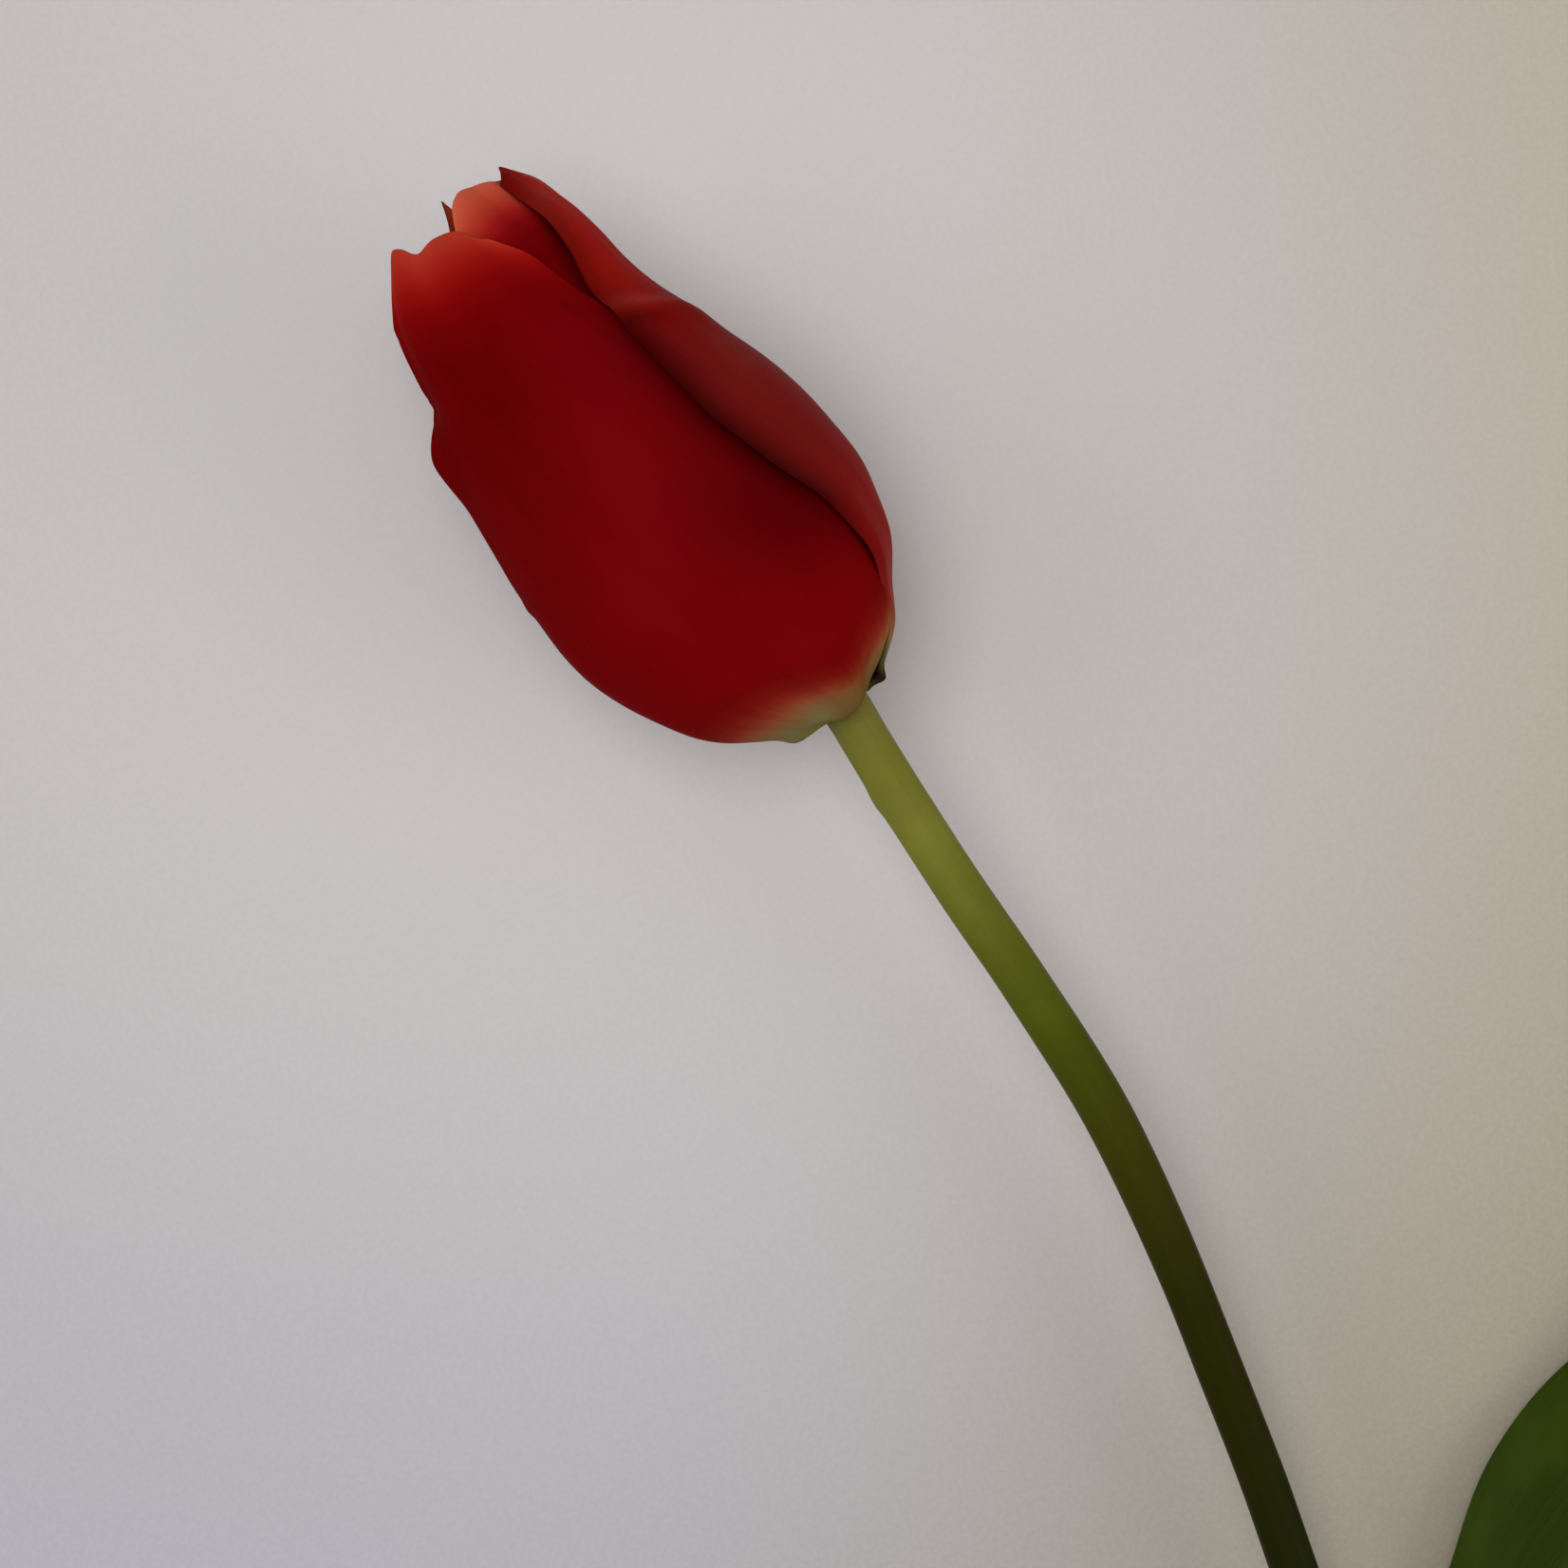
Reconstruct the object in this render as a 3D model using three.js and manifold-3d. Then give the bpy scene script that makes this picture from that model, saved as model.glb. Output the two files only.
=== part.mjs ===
// A single cut tulip with a closed red bloom, lying on a flat surface.
// Millimetres, +Z up. The stem runs along Y with the bloom at +Y. The origin lies on the surface, in the
// middle of the flower's length and width. While it is built, the bloom's foot is over the origin.
import * as THREE from 'three'
import { mergeVertices } from 'three/addons/utils/BufferGeometryUtils.js'
import Module from 'manifold-3d'

// Driving dimensions
const NECK_HEIGHT = 20.4 // of the bloom's foot over the surface
const BLOOM_LEAN = 12 // degrees, the bloom points this far to the left of +Y
const BLOOM_RISE = 4 // degrees, the bloom points this far above level
const PETAL_THICKNESS = 0.75
const PETAL_TWIST = 28 // degrees, each petal winds this far round the bloom from its root to its tip
const PETAL_LAP = 0.573 // a petal rises over its neighbour by this per radian to the left of its middle
const INNER_WHORL_DEPTH = 2.6 // of the inner petals' faces under those of the outer petals
const MARGIN_LIFT = 0.45 // of an outer petal's left margin off the petal under it
const NECK_RADIUS = 3.15
const CUT_END_RADIUS = 3.2
const RECEPTACLE_RADIUS = 3.2
const RECEPTACLE_TOP_RADIUS = 2.4
const RECEPTACLE_HEIGHT = 4.5
const STEM_SLIMMEST = [-0.13, 100, 55] // change of the radius, at this far below the neck, and its spread
const STEM_THICKENS = [130, 200] // between these distances below the neck
const LEAF_THICKNESS = 0.8
const CLEARANCE = 0.3 // between pieces that grow against each other

// The bloom's form at stations up its length: height over the neck, radius, shift to the right.
const BLOOM_STATIONS = [
  [0.7, 3.6, 0], [0.95, 5, 0], [1.6, 6.4, 0], [2.7, 8.2, 0.1], [4.7, 11.2, -0.1], [7.2, 14, -0.5],
  [10, 16, -0.8],
  [14.6, 18.5, -0.7], [19.4, 20.5, -0.7], [24, 21.8, -0.8], [29, 22.1, -0.9], [35, 21.8, -0.9],
  [41, 21, -1.15],
  [47, 19.7, -1.55], [52, 18.3, -1.7], [57.5, 16.5, -1.9], [62, 15.2, -1.6], [67, 14.4, -1.2],
  [72, 13.2, -0.9],
  [76.7, 10.9, -0.7], [80, 9, -0.3], [84, 6.1, -0.1], [88, 4, -0.1],
]

// Points on the stem's middle line, from below the neck down to the cut end.
const STEM_LINE = [
  [0.35, -4.5, 20.1], [1.2, -14, 19.5], [2.6, -26, 18.7], [4.85, -42, 17.6], [6.55, -58, 16.5],
  [6.8, -70, 15.7],
  [6.2, -84, 14.7], [5.05, -98, 13.7], [3.9, -111.5, 12.7], [2.5, -123, 11.9], [-0.8, -150, 10],
  [-4, -180, 7.8],
  [-6.8, -214, 5.3], [-8.6, -247, 3.2],
]

const radians = THREE.MathUtils.degToRad
const ease = THREE.MathUtils.smoothstep
const hump = (value, height, at, spread) => height * Math.exp(-(((value - at) / spread) ** 2))

// A smooth curve through the rows of a table: gives the value in a column for a value in the first one.
function tableCurve(rows, column = 1) {
  const x = rows.map((row) => row[0])
  const y = rows.map((row) => row[column])
  const last = rows.length - 1
  const slope = (i) => {
    const before = Math.max(i - 1, 0)
    const after = Math.min(i + 1, last)
    return (y[after] - y[before]) / (x[after] - x[before])
  }
  return (value) => {
    const at = THREE.MathUtils.clamp(value, x[0], x[last])
    let i = 0
    while (i < last - 1 && at > x[i + 1]) i += 1
    const span = x[i + 1] - x[i]
    const t = (at - x[i]) / span
    const rise = y[i + 1] - y[i]
    const start = slope(i) * span
    const end = slope(i + 1) * span
    return y[i] + t * (start + t * (3 * rise - 2 * start - end + t * (start + end - 2 * rise)))
  }
}

// A closed thin blade. point(s, u, face) gives its place at s along it (0 to 1) and u across it (-1 to 1),
// on its outer face (0) or its inner face (1). Both faces are split into triangles alike.
function bladeGeometry(rows, columns, point) {
  const positions = []
  const index = []
  const vertex = (face, row, column) => (face * (rows + 1) + row) * (columns + 1) + column
  for (let face = 0; face < 2; face += 1) {
    for (let row = 0; row <= rows; row += 1) {
      for (let column = 0; column <= columns; column += 1) {
        positions.push(...point(row / rows, (2 * column) / columns - 1, face).toArray())
      }
    }
  }
  for (let row = 0; row < rows; row += 1) {
    for (let column = 0; column < columns; column += 1) {
      const [a, b, c, d] = [[0, 0], [0, 1], [1, 1], [1, 0]].map(([r, q]) => vertex(0, row + r, column + q))
      const back = vertex(1, 0, 0)
      index.push(a, b, c, a, c, d, back + a, back + c, back + b, back + a, back + d, back + c)
    }
  }
  const rim = []
  for (let column = 0; column < columns; column += 1) rim.push([0, column])
  for (let row = 0; row < rows; row += 1) rim.push([row, columns])
  for (let column = columns; column > 0; column -= 1) rim.push([rows, column])
  for (let row = rows; row > 0; row -= 1) rim.push([row, 0])
  rim.forEach(([row, column], i) => {
    const [nextRow, nextColumn] = rim[(i + 1) % rim.length]
    const [a, b] = [vertex(0, row, column), vertex(0, nextRow, nextColumn)]
    const [c, d] = [vertex(1, row, column), vertex(1, nextRow, nextColumn)]
    index.push(a, c, b, b, c, d)
  })
  const geometry = new THREE.BufferGeometry()
  geometry.setAttribute('position', new THREE.Float32BufferAttribute(positions, 3))
  geometry.setIndex(index)
  return geometry
}

const wasm = await Module()
wasm.setup()

function toSolid(geometry) {
  const bare = geometry.clone()
  bare.deleteAttribute('normal')
  bare.deleteAttribute('uv')
  const merged = mergeVertices(bare, 1e-4)
  return new wasm.Manifold(new wasm.Mesh({
    numProp: 3,
    vertProperties: Float32Array.from(merged.attributes.position.array),
    triVerts: Uint32Array.from(merged.index.array),
  }))
}

function toGeometry(solid) {
  const mesh = solid.getMesh()
  const geometry = new THREE.BufferGeometry()
  geometry.setAttribute('position', new THREE.Float32BufferAttribute(mesh.vertProperties, 3))
  geometry.setIndex([...mesh.triVerts])
  return geometry
}

// What lies below the surface that the flower rests on is cut away, which leaves a small flat spot.
function flatAtRest(geometry) {
  const room = 600
  const below = new THREE.BoxGeometry(room, room, room).translate(0, 0, -room / 2)
  return toGeometry(toSolid(geometry).subtract(toSolid(below)))
}

function material(name, color, roughness) {
  return new THREE.MeshStandardMaterial({ name, color, roughness, metalness: 0 })
}

const MATERIALS = {
  petal: material('petal', '#7d0c10', 0.5),
  innerPetal: material('inner_petal', '#b23a22', 0.5),
  stem: material('stem', '#5d6418', 0.5),
  leaf: material('leaf', '#35450f', 0.55),
  pistil: material('pistil', '#8f9a4a', 0.6),
  stamens: material('stamens', '#2b1a26', 0.8),
}

function node(name, geometry, slot) {
  const mesh = new THREE.Mesh(geometry, MATERIALS[slot])
  mesh.name = name
  return mesh
}

// The bloom stands on its own axis, with the front towards -Y, and is then laid down at the neck.
const bloomTurn = new THREE.Euler(radians(BLOOM_RISE - 90), 0, radians(BLOOM_LEAN), 'ZYX')
const bloomPlace = new THREE.Matrix4().compose(
  new THREE.Vector3(0, 0, NECK_HEIGHT),
  new THREE.Quaternion().setFromEuler(bloomTurn),
  new THREE.Vector3(1, 1, 1),
)

function bloomPoint(angle, radius, height, shift = 0) {
  return new THREE.Vector3(radius * Math.sin(angle) + shift, -radius * Math.cos(angle), height)
}

// The stations again, by the distance along a petal's middle from its root.
const alongRows = []
BLOOM_STATIONS.forEach(([height, radius, shift], i) => {
  const [lastHeight, lastRadius] = BLOOM_STATIONS[Math.max(i - 1, 0)]
  const step = Math.hypot(height - lastHeight, radius - lastRadius)
  alongRows.push([i ? alongRows[i - 1][0] + step : 0, height, radius, shift])
})
const heightAt = tableCurve(alongRows, 1)
const radiusAt = tableCurve(alongRows, 2)
const shiftAt = tableCurve(alongRows, 3)
const PETAL_REACH = 92 // the distance along a petal at which its twist ends

// Half widths of an outer petal by distance along it, for the margins that a neighbour hides.
const OUTER_MARGIN = [
  [0, 2.6], [4, 6.6], [9, 12], [14, 17.2], [20, 21.6], [26, 24.6], [33, 26], [40, 26], [47, 24.8], [56, 22],
  [64, 18.6], [71, 15.2], [78, 11.6], [85, 7],
]
const INNER_MARGIN = [
  [0, 2.5], [4, 5.8], [9, 10], [14, 14], [20, 18], [26, 20.6], [33, 22], [40, 22], [48, 20.8], [56, 18.8],
  [64, 16.2], [72, 13.4], [80, 10.2], [87, 7.2],
]
const ROUND_TOP = [[-1, 86], [-0.75, 88.6], [-0.3, 90.2], [0.3, 90.2], [0.75, 88.4], [1, 85.6]]

// tip: where the petal's middle ends, in degrees round the bloom, 0 at the front and 90 at the right.
// left, right: half widths by distance along. top: distance along to the tip's edge, by u.
// bend: how far the tip bends in. sag: how far the foot hangs down past the top of the stem.
// lifts: places where a side stands out, as
// [side, share of the half width it starts at, height, along, spread].
const PETALS = [
  {
    name: 'outer_petal_front',
    tip: -42,
    left: [
      [0, 2.8], [5.7, 10], [9.6, 14.5], [13, 17.8], [16.5, 20.4], [22, 23.4], [27, 25.2], [32, 26.2],
      [37, 26.2],
      [43, 25], [49, 23.2], [55, 21.2], [60, 19.3], [64, 18], [67.5, 16.8], [70.5, 15], [75.5, 13.6],
      [80.6, 11.8], [85, 9.6],
    ],
    right: [
      [0, 5.3], [4, 12.8], [8, 18.2], [12, 22.2], [16.5, 25.2], [22, 26.9], [29, 28], [36, 27.6], [42, 27],
      [48, 26], [54, 24.6], [60, 22.4], [65.5, 20], [71.6, 16.9], [77.4, 14.4], [80.5, 12], [82.4, 10.4],
    ],
    top: [
      [-1, 80.6], [-0.87, 84.9], [-0.73, 88.1], [-0.52, 89.9], [-0.22, 89.2], [0, 87.2], [0.28, 87.4],
      [0.51, 87],
      [0.64, 86.2], [0.83, 84], [1, 82.4],
    ],
    lifts: [[-1, 0.5, 1.6, 63.2, 3.6], [-1, 0.5, 0.5, 59.5, 3]],
    bend: 0,
    sag: 2,
  },
  {
    name: 'outer_petal_right',
    tip: 78,
    left: [
      [0, 2.6], [4, 3.8], [8, 6.2], [10.5, 7.8], [16.4, 12.4], [22.4, 16.5], [29, 20.5], [35.4, 23.4],
      [41, 24.2],
      [46, 23.9], [50, 22.6], [58, 19.3], [64.4, 16], [72, 11.4], [78, 8.5], [84.4, 5],
    ],
    right: OUTER_MARGIN,
    top: [[-1, 84.4], [-0.5, 88.2], [0, 90.2], [0.3, 90.3], [0.6, 89.6], [0.85, 88.2], [1, 86.8]],
    lifts: [],
    bend: 0,
    sag: 0.8,
  },
  {
    name: 'outer_petal_back',
    tip: 199,
    left: OUTER_MARGIN,
    right: OUTER_MARGIN,
    top: [[-1, 82], [-0.5, 85.4], [0, 87.2], [0.5, 85.4], [1, 82]],
    lifts: [],
    bend: 0,
    sag: 0.8,
  },
  {
    name: 'inner_petal_right',
    tip: 36,
    left: [...INNER_MARGIN.slice(0, -2), [80, 9.4], [87, 5.4]],
    right: [...INNER_MARGIN.slice(0, -2), [80, 11.2], [87, 8.4]],
    top: [[-1, 86], [-0.79, 88.4], [-0.37, 90.6], [-0.08, 91.1], [0.35, 90.6], [0.75, 90.2], [1, 89.4]],
    lifts: [[1, 0, 1.1, 91, 8]],
    bend: -1.3,
    sag: 0,
  },
  {
    name: 'inner_petal_back',
    tip: 165,
    left: INNER_MARGIN,
    right: INNER_MARGIN,
    top: [[-1, 86], [-0.5, 92], [0, 94.8], [0.5, 92], [1, 86]],
    lifts: [],
    bend: 2,
    sag: 0,
  },
  {
    name: 'inner_petal_left',
    tip: -85,
    left: INNER_MARGIN,
    right: INNER_MARGIN,
    top: ROUND_TOP,
    lifts: [],
    bend: 1.6,
    sag: 0,
  },
]
const BEND_FROM = 70 // the distance along a petal from which its tip bends in
const SAG_ALONG = [2.4, 1.9] // the distance along a petal at which its foot hangs lowest, and its spread
const SAG_ACROSS = [0.2, 0.4] // the same across it, as shares of its half width
const LIFT_ALONG = [8, 24] // the distances along a petal between which its left margin starts to stand off
const LIFT_ACROSS = 0.55 // the share of the half width from which it stands off
const ROOT_CROWDING = 0.6 // how much closer the rows of triangles lie near a petal's root
const PETAL_ROWS = 24
const PETAL_COLUMNS = 14

// The place of a petal's point in the upright bloom, at a depth under the petal's outer face.
function petalPoint(petal, s, u, depth) {
  const inner = petal.name.startsWith('inner')
  const top = tableCurve(petal.top)
  const along = s * top(u)
  const side = u < 0 ? petal.left : petal.right
  const width = tableCurve(side)(s * top(Math.sign(u)))
  const [h0, h1, r0, r1] = [heightAt, radiusAt].flatMap((curve) => [curve(along - 0.5), curve(along + 0.5)])
  const outward = new THREE.Vector2(h1 - h0, r0 - r1).normalize()
  const whorl = inner ? -INNER_WHORL_DEPTH : 0
  const turn = (u * width) / (radiusAt(along) + whorl * outward.x)
  const angle = radians(petal.tip + PETAL_TWIST * (1 - along / PETAL_REACH)) + turn
  const bent = Math.max(0, (along - BEND_FROM) / (PETAL_REACH - BEND_FROM)) ** 2
  let lift = whorl - PETAL_LAP * turn - petal.bend * bent
  if (!inner) lift += MARGIN_LIFT * ease(-u, LIFT_ACROSS, 1) * ease(along, ...LIFT_ALONG)
  lift += petal.sag * hump(along, 1, ...SAG_ALONG) * hump(u, 1, ...SAG_ACROSS)
  petal.lifts.forEach(([sign, from, ...form]) => {
    lift += ease(u * sign, from, 1) * hump(along, ...form)
  })
  const rise = lift - depth
  const height = heightAt(along) + rise * outward.y
  return bloomPoint(angle, radiusAt(along) + rise * outward.x, height, shiftAt(along))
}

function petalMesh(petal) {
  const closer = (s) => s - ROOT_CROWDING * s * (1 - s) ** 4
  const place = (s, u, face) => {
    return petalPoint(petal, closer(s), u, face * PETAL_THICKNESS).applyMatrix4(bloomPlace)
  }
  const geometry = bladeGeometry(PETAL_ROWS, PETAL_COLUMNS, place)
  const slot = petal.name.startsWith('inner') ? 'innerPetal' : 'petal'
  return node(petal.name, petal.name === 'outer_petal_back' ? flatAtRest(geometry) : geometry, slot)
}

// The stem is a lathe profile bent along its middle line, with the receptacle at its top.
const STEM_STEP = 7 // about, between the profile's points
const STEM_SIDES = 14
const bloomAxis = new THREE.Vector3(0, 0, 1).transformDirection(bloomPlace)
const neck = new THREE.Vector3(0, 0, NECK_HEIGHT)
const stemCurve = new THREE.CatmullRomCurve3([
  neck.clone().addScaledVector(bloomAxis, RECEPTACLE_HEIGHT),
  neck,
  ...STEM_LINE.map((point) => new THREE.Vector3(...point)),
], false, 'centripetal')
const stemReach = stemCurve.getLength()

// A point beside the stem: at a distance down it, out from its middle and turned up from its right side.
function besideStem(distance, out, turn) {
  const at = THREE.MathUtils.clamp(distance / stemReach, 0, 1)
  const tangent = stemCurve.getTangentAt(at)
  const right = new THREE.Vector3().crossVectors(new THREE.Vector3(0, 0, 1), tangent).normalize()
  const up = new THREE.Vector3().crossVectors(tangent, right)
  const point = stemCurve.getPointAt(at)
  return point.addScaledVector(right, out * Math.cos(turn)).addScaledVector(up, out * Math.sin(turn))
}

function stemRadius(distance) {
  const belowNeck = distance - RECEPTACLE_HEIGHT
  const swell = (RECEPTACLE_RADIUS - NECK_RADIUS) * (1 - ease(belowNeck, 0, 2.5))
  const slim = hump(belowNeck, ...STEM_SLIMMEST)
  const taper = (RECEPTACLE_TOP_RADIUS - RECEPTACLE_RADIUS) * (1 - ease(distance, 1.4, 3.4))
  const thicken = (CUT_END_RADIUS - NECK_RADIUS) * ease(belowNeck, ...STEM_THICKENS)
  return NECK_RADIUS + swell + slim + taper + thicken
}

function stemMesh() {
  const stations = [0, 1.6, 2.4, 3.4, 4.6, 6, 8, 12]
  const steps = Math.round((stemReach - stations.at(-1)) / STEM_STEP)
  const step = (stemReach - stations.at(-1)) / steps
  for (let i = 0; i < steps; i += 1) stations.push(stations.at(-1) + step)
  const profile = stations.map((at) => new THREE.Vector2(stemRadius(at), at))
  const ends = [new THREE.Vector2(0, 0), ...profile, new THREE.Vector2(0, stemReach)]
  const geometry = new THREE.LatheGeometry(ends, STEM_SIDES)
  const position = geometry.attributes.position
  for (let i = 0; i < position.count; i += 1) {
    const [x, y, z] = [position.getX(i), position.getY(i), position.getZ(i)]
    position.setXYZ(i, ...besideStem(y, Math.hypot(x, z), Math.atan2(-z, x)).toArray())
  }
  return node('stem', toGeometry(toSolid(geometry)), 'stem')
}

// The ovary is three-sided and carries a stigma of three lobes.
const OVARY = [[1.8, 0], [1.9, 1.1], [2.6, 2.8], [3.1, 6], [3, 10.5], [2.5, 14], [1.9, 16.4]]
const STIGMA_HEIGHT = 16
const STIGMA_LOBE = [3.4, 1.5, 1.7] // half sizes of a lobe, out from the middle, across and up

function pistilMesh() {
  const profile = [[0, 0], ...OVARY, [0, STIGMA_HEIGHT + 1]].map(([r, h]) => new THREE.Vector2(r, h))
  const ovary = new THREE.LatheGeometry(profile, 18).rotateX(Math.PI / 2)
  const position = ovary.attributes.position
  for (let i = 0; i < position.count; i += 1) {
    const angle = Math.atan2(position.getY(i), position.getX(i))
    const swell = 1 + 0.1 * Math.cos(3 * angle)
    position.setXY(i, position.getX(i) * swell, position.getY(i) * swell)
  }
  let solid = toSolid(ovary)
  for (let lobe = 0; lobe < 3; lobe += 1) {
    const shape = new THREE.SphereGeometry(1, 12, 8).scale(...STIGMA_LOBE)
    shape.translate(STIGMA_LOBE[0] * 0.75, 0, STIGMA_HEIGHT + 1.2)
    solid = solid.add(toSolid(shape.rotateZ((lobe * 2 * Math.PI) / 3)))
  }
  const geometry = toGeometry(solid).translate(0, 0, RECEPTACLE_HEIGHT + CLEARANCE)
  return node('pistil', geometry.applyMatrix4(bloomPlace), 'pistil')
}

// Six stamens stand on the rim of the receptacle, round the ovary.
const STAMEN_RIM = [2.25, 2.85, 0.8] // inner radius, outer radius and height
const FILAMENT_LINE = [[2.55, 0.1], [3.7, 2.5], [5.2, 6], [5.9, 10.5]] // out from the middle and up
const ANTHER = [1.1, 12.5] // radius and length
const STAMEN_COUNT = 6

function stamensMesh() {
  const [inner, outer, height] = STAMEN_RIM
  const ring = [[inner, 0], [outer, 0], [outer, height], [inner, height], [inner, 0]]
  const rim = new THREE.LatheGeometry(ring.map(([r, h]) => new THREE.Vector2(r, h)), 18).rotateX(Math.PI / 2)
  let solid = toSolid(rim)
  const line = new THREE.CatmullRomCurve3(FILAMENT_LINE.map(([out, up]) => new THREE.Vector3(out, 0, up)))
  const section = new THREE.Shape().absarc(0, 0, 0.45, 0, 2 * Math.PI)
  const [radius, length] = ANTHER
  for (let i = 0; i < STAMEN_COUNT; i += 1) {
    const turn = ((i + 0.5) * 2 * Math.PI) / STAMEN_COUNT
    const filament = new THREE.ExtrudeGeometry(section, { steps: 5, curveSegments: 3, extrudePath: line })
    const anther = new THREE.CapsuleGeometry(radius, length - 2 * radius, 3, 8).rotateX(Math.PI / 2)
    anther.translate(6.1, 0, FILAMENT_LINE.at(-1)[1] + length / 2 - 1)
    solid = solid.add(toSolid(filament.rotateZ(turn))).add(toSolid(anther.rotateZ(turn)))
  }
  const geometry = toGeometry(solid).translate(0, 0, RECEPTACLE_HEIGHT + CLEARANCE)
  return node('stamens', geometry.applyMatrix4(bloomPlace), 'stamens')
}

// A leaf clasps the stem with its foot, leaves it and lies along the surface with waved margins.
// foot: distance down the stem, turn round it in degrees and length of the clasping foot.
// spine: the rest of the middle line. widths: half width by share of the length. wave: height, length, phase.
const LEAVES = [
  {
    name: 'leaf_right',
    foot: [182, -30, 14],
    spine: [
      [9, -156, 3.2], [24, -146.5, 1.3], [44, -137, 1.2], [68, -130.5, 2.6], [92, -126, 3.4],
      [116, -119, 0.8],
    ],
    widths: [
      [0, 5.4], [0.08, 5.8], [0.16, 6.8], [0.24, 8.8], [0.32, 12], [0.42, 16.6], [0.54, 18], [0.7, 14.8],
      [0.84, 9], [0.94, 4], [1, 0.8],
    ],
    wave: [1.5, 46, 0.4],
  },
  {
    name: 'leaf_left',
    foot: [214, 210, 14],
    spine: [
      [-17, -186, 2.6], [-32, -176, 1.3], [-52, -163, 1.2], [-74, -148, 2.8], [-93, -131, 3.4],
      [-109, -111, 0.8],
    ],
    widths: [
      [0, 5.6], [0.08, 6.6], [0.16, 11], [0.26, 16.5], [0.4, 19.8], [0.55, 19], [0.7, 15.2], [0.84, 9.4],
      [0.94, 4.2], [1, 0.8],
    ],
    wave: [1.6, 52, 2.2],
  },
]
const LEAF_ROWS = 34
const LEAF_COLUMNS = 8
// The radius of a leaf's hollow face by share of the length.
const LEAF_CHANNEL = [[0, 3.6], [0.06, 3.9], [0.14, 7], [0.24, 16], [0.4, 34], [0.7, 44], [1, 30]]

function leafMesh(leaf) {
  const [down, turned, length] = leaf.foot
  const turn = radians(turned)
  const hold = CUT_END_RADIUS + CLEARANCE + 0.1
  const footPoints = [0, 0.5, 1].map((share) => besideStem(down - share * length, hold, turn))
  const curve = new THREE.CatmullRomCurve3([
    ...footPoints, ...leaf.spine.map((point) => new THREE.Vector3(...point)),
  ], false, 'centripetal')
  const toStem = besideStem(down, 0, turn).sub(footPoints[0]).normalize()
  const reach = curve.getLength()
  const width = tableCurve(leaf.widths)
  const channel = tableCurve(LEAF_CHANNEL)
  const [waveHeight, waveLength, phase] = leaf.wave
  const place = (s, u, face) => {
    const tangent = curve.getTangentAt(s)
    const facing = toStem.clone().lerp(new THREE.Vector3(0, 0, 1), ease(s, 0.06, 0.3))
    facing.addScaledVector(tangent, -facing.dot(tangent)).normalize()
    const across = new THREE.Vector3().crossVectors(facing, tangent)
    const radius = channel(s)
    const bent = (u * width(s)) / radius
    const wave = waveHeight * Math.abs(u) ** 3 * ease(s, 0.15, 0.4)
    const ripple = wave * Math.sin((2 * Math.PI * s * reach) / waveLength + phase + 1.3 * u)
    const out = radius + (1 - face) * LEAF_THICKNESS
    const point = curve.getPointAt(s)
    point.addScaledVector(across, out * Math.sin(bent))
    return point.addScaledVector(facing, radius - out * Math.cos(bent) + ripple)
  }
  return node(leaf.name, flatAtRest(bladeGeometry(LEAF_ROWS, LEAF_COLUMNS, place)), 'leaf')
}

const flower = new THREE.Group()
flower.add(stemMesh(), ...PETALS.map(petalMesh), pistilMesh(), stamensMesh(), ...LEAVES.map(leafMesh))
const middle = new THREE.Box3().setFromObject(flower).getCenter(new THREE.Vector3())
flower.position.set(-middle.x, -middle.y, 0)

export default flower
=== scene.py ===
# %% [markdown]
# # A red tulip lying on a pale surface
# A cut tulip is a bloom of six petals on a bare curved stem, with two long leaves that clasp the stem.
# This lesson dresses a plain solid model of one. Sculpted by hand, the flower would drift away from the
# solids, so each piece here is a finer version of a solid, made in the same place from the same few
# dimensions. They are millimetres from the bloom's foot, where the stem meets the petals, and turn into
# metres when a mesh is finished.

# %% Load the solid model
import bisect
import math

import bmesh
import bpy
from mathutils import Euler, Matrix, Vector, noise


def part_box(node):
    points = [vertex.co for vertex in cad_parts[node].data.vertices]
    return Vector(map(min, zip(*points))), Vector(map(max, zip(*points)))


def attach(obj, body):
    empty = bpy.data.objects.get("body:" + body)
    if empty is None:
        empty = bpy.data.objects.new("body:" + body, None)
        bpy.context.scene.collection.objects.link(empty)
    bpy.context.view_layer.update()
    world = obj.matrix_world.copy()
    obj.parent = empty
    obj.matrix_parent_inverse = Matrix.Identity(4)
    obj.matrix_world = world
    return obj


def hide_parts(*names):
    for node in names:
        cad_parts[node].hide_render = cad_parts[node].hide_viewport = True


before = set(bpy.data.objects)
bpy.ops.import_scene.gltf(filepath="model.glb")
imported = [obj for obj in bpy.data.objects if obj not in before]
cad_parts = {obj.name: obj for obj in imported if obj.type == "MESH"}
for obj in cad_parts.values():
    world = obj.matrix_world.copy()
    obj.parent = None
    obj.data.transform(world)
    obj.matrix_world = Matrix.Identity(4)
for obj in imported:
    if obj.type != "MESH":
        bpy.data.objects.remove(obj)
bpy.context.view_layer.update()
print("solid pieces:", ", ".join(sorted(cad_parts)))

# %% [markdown]
# ## Where the bloom's foot is
# The stem's solid reaches a little past the bloom's foot at its top, and bends a little to its left.
# The foot's place could be typed in, but taken from those two distances it follows the solids.

# %% Find the bloom's foot
MM = 0.001
STEM_TOP_PAST_FOOT = 4.91
STEM_LEFT_OF_FOOT = 11.72
NECK_HEIGHT = 20.4

stem_low, stem_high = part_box("stem")
FOOT = Vector((stem_low.x / MM + STEM_LEFT_OF_FOOT, stem_high.y / MM - STEM_TOP_PAST_FOOT, 0))


def in_frame(point):
    """A point in millimetres from the spot under the bloom's foot, as the frame's metres."""
    return (FOOT + point) * MM


print("the bloom's foot is over", tuple(round(value, 2) for value in FOOT))

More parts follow.
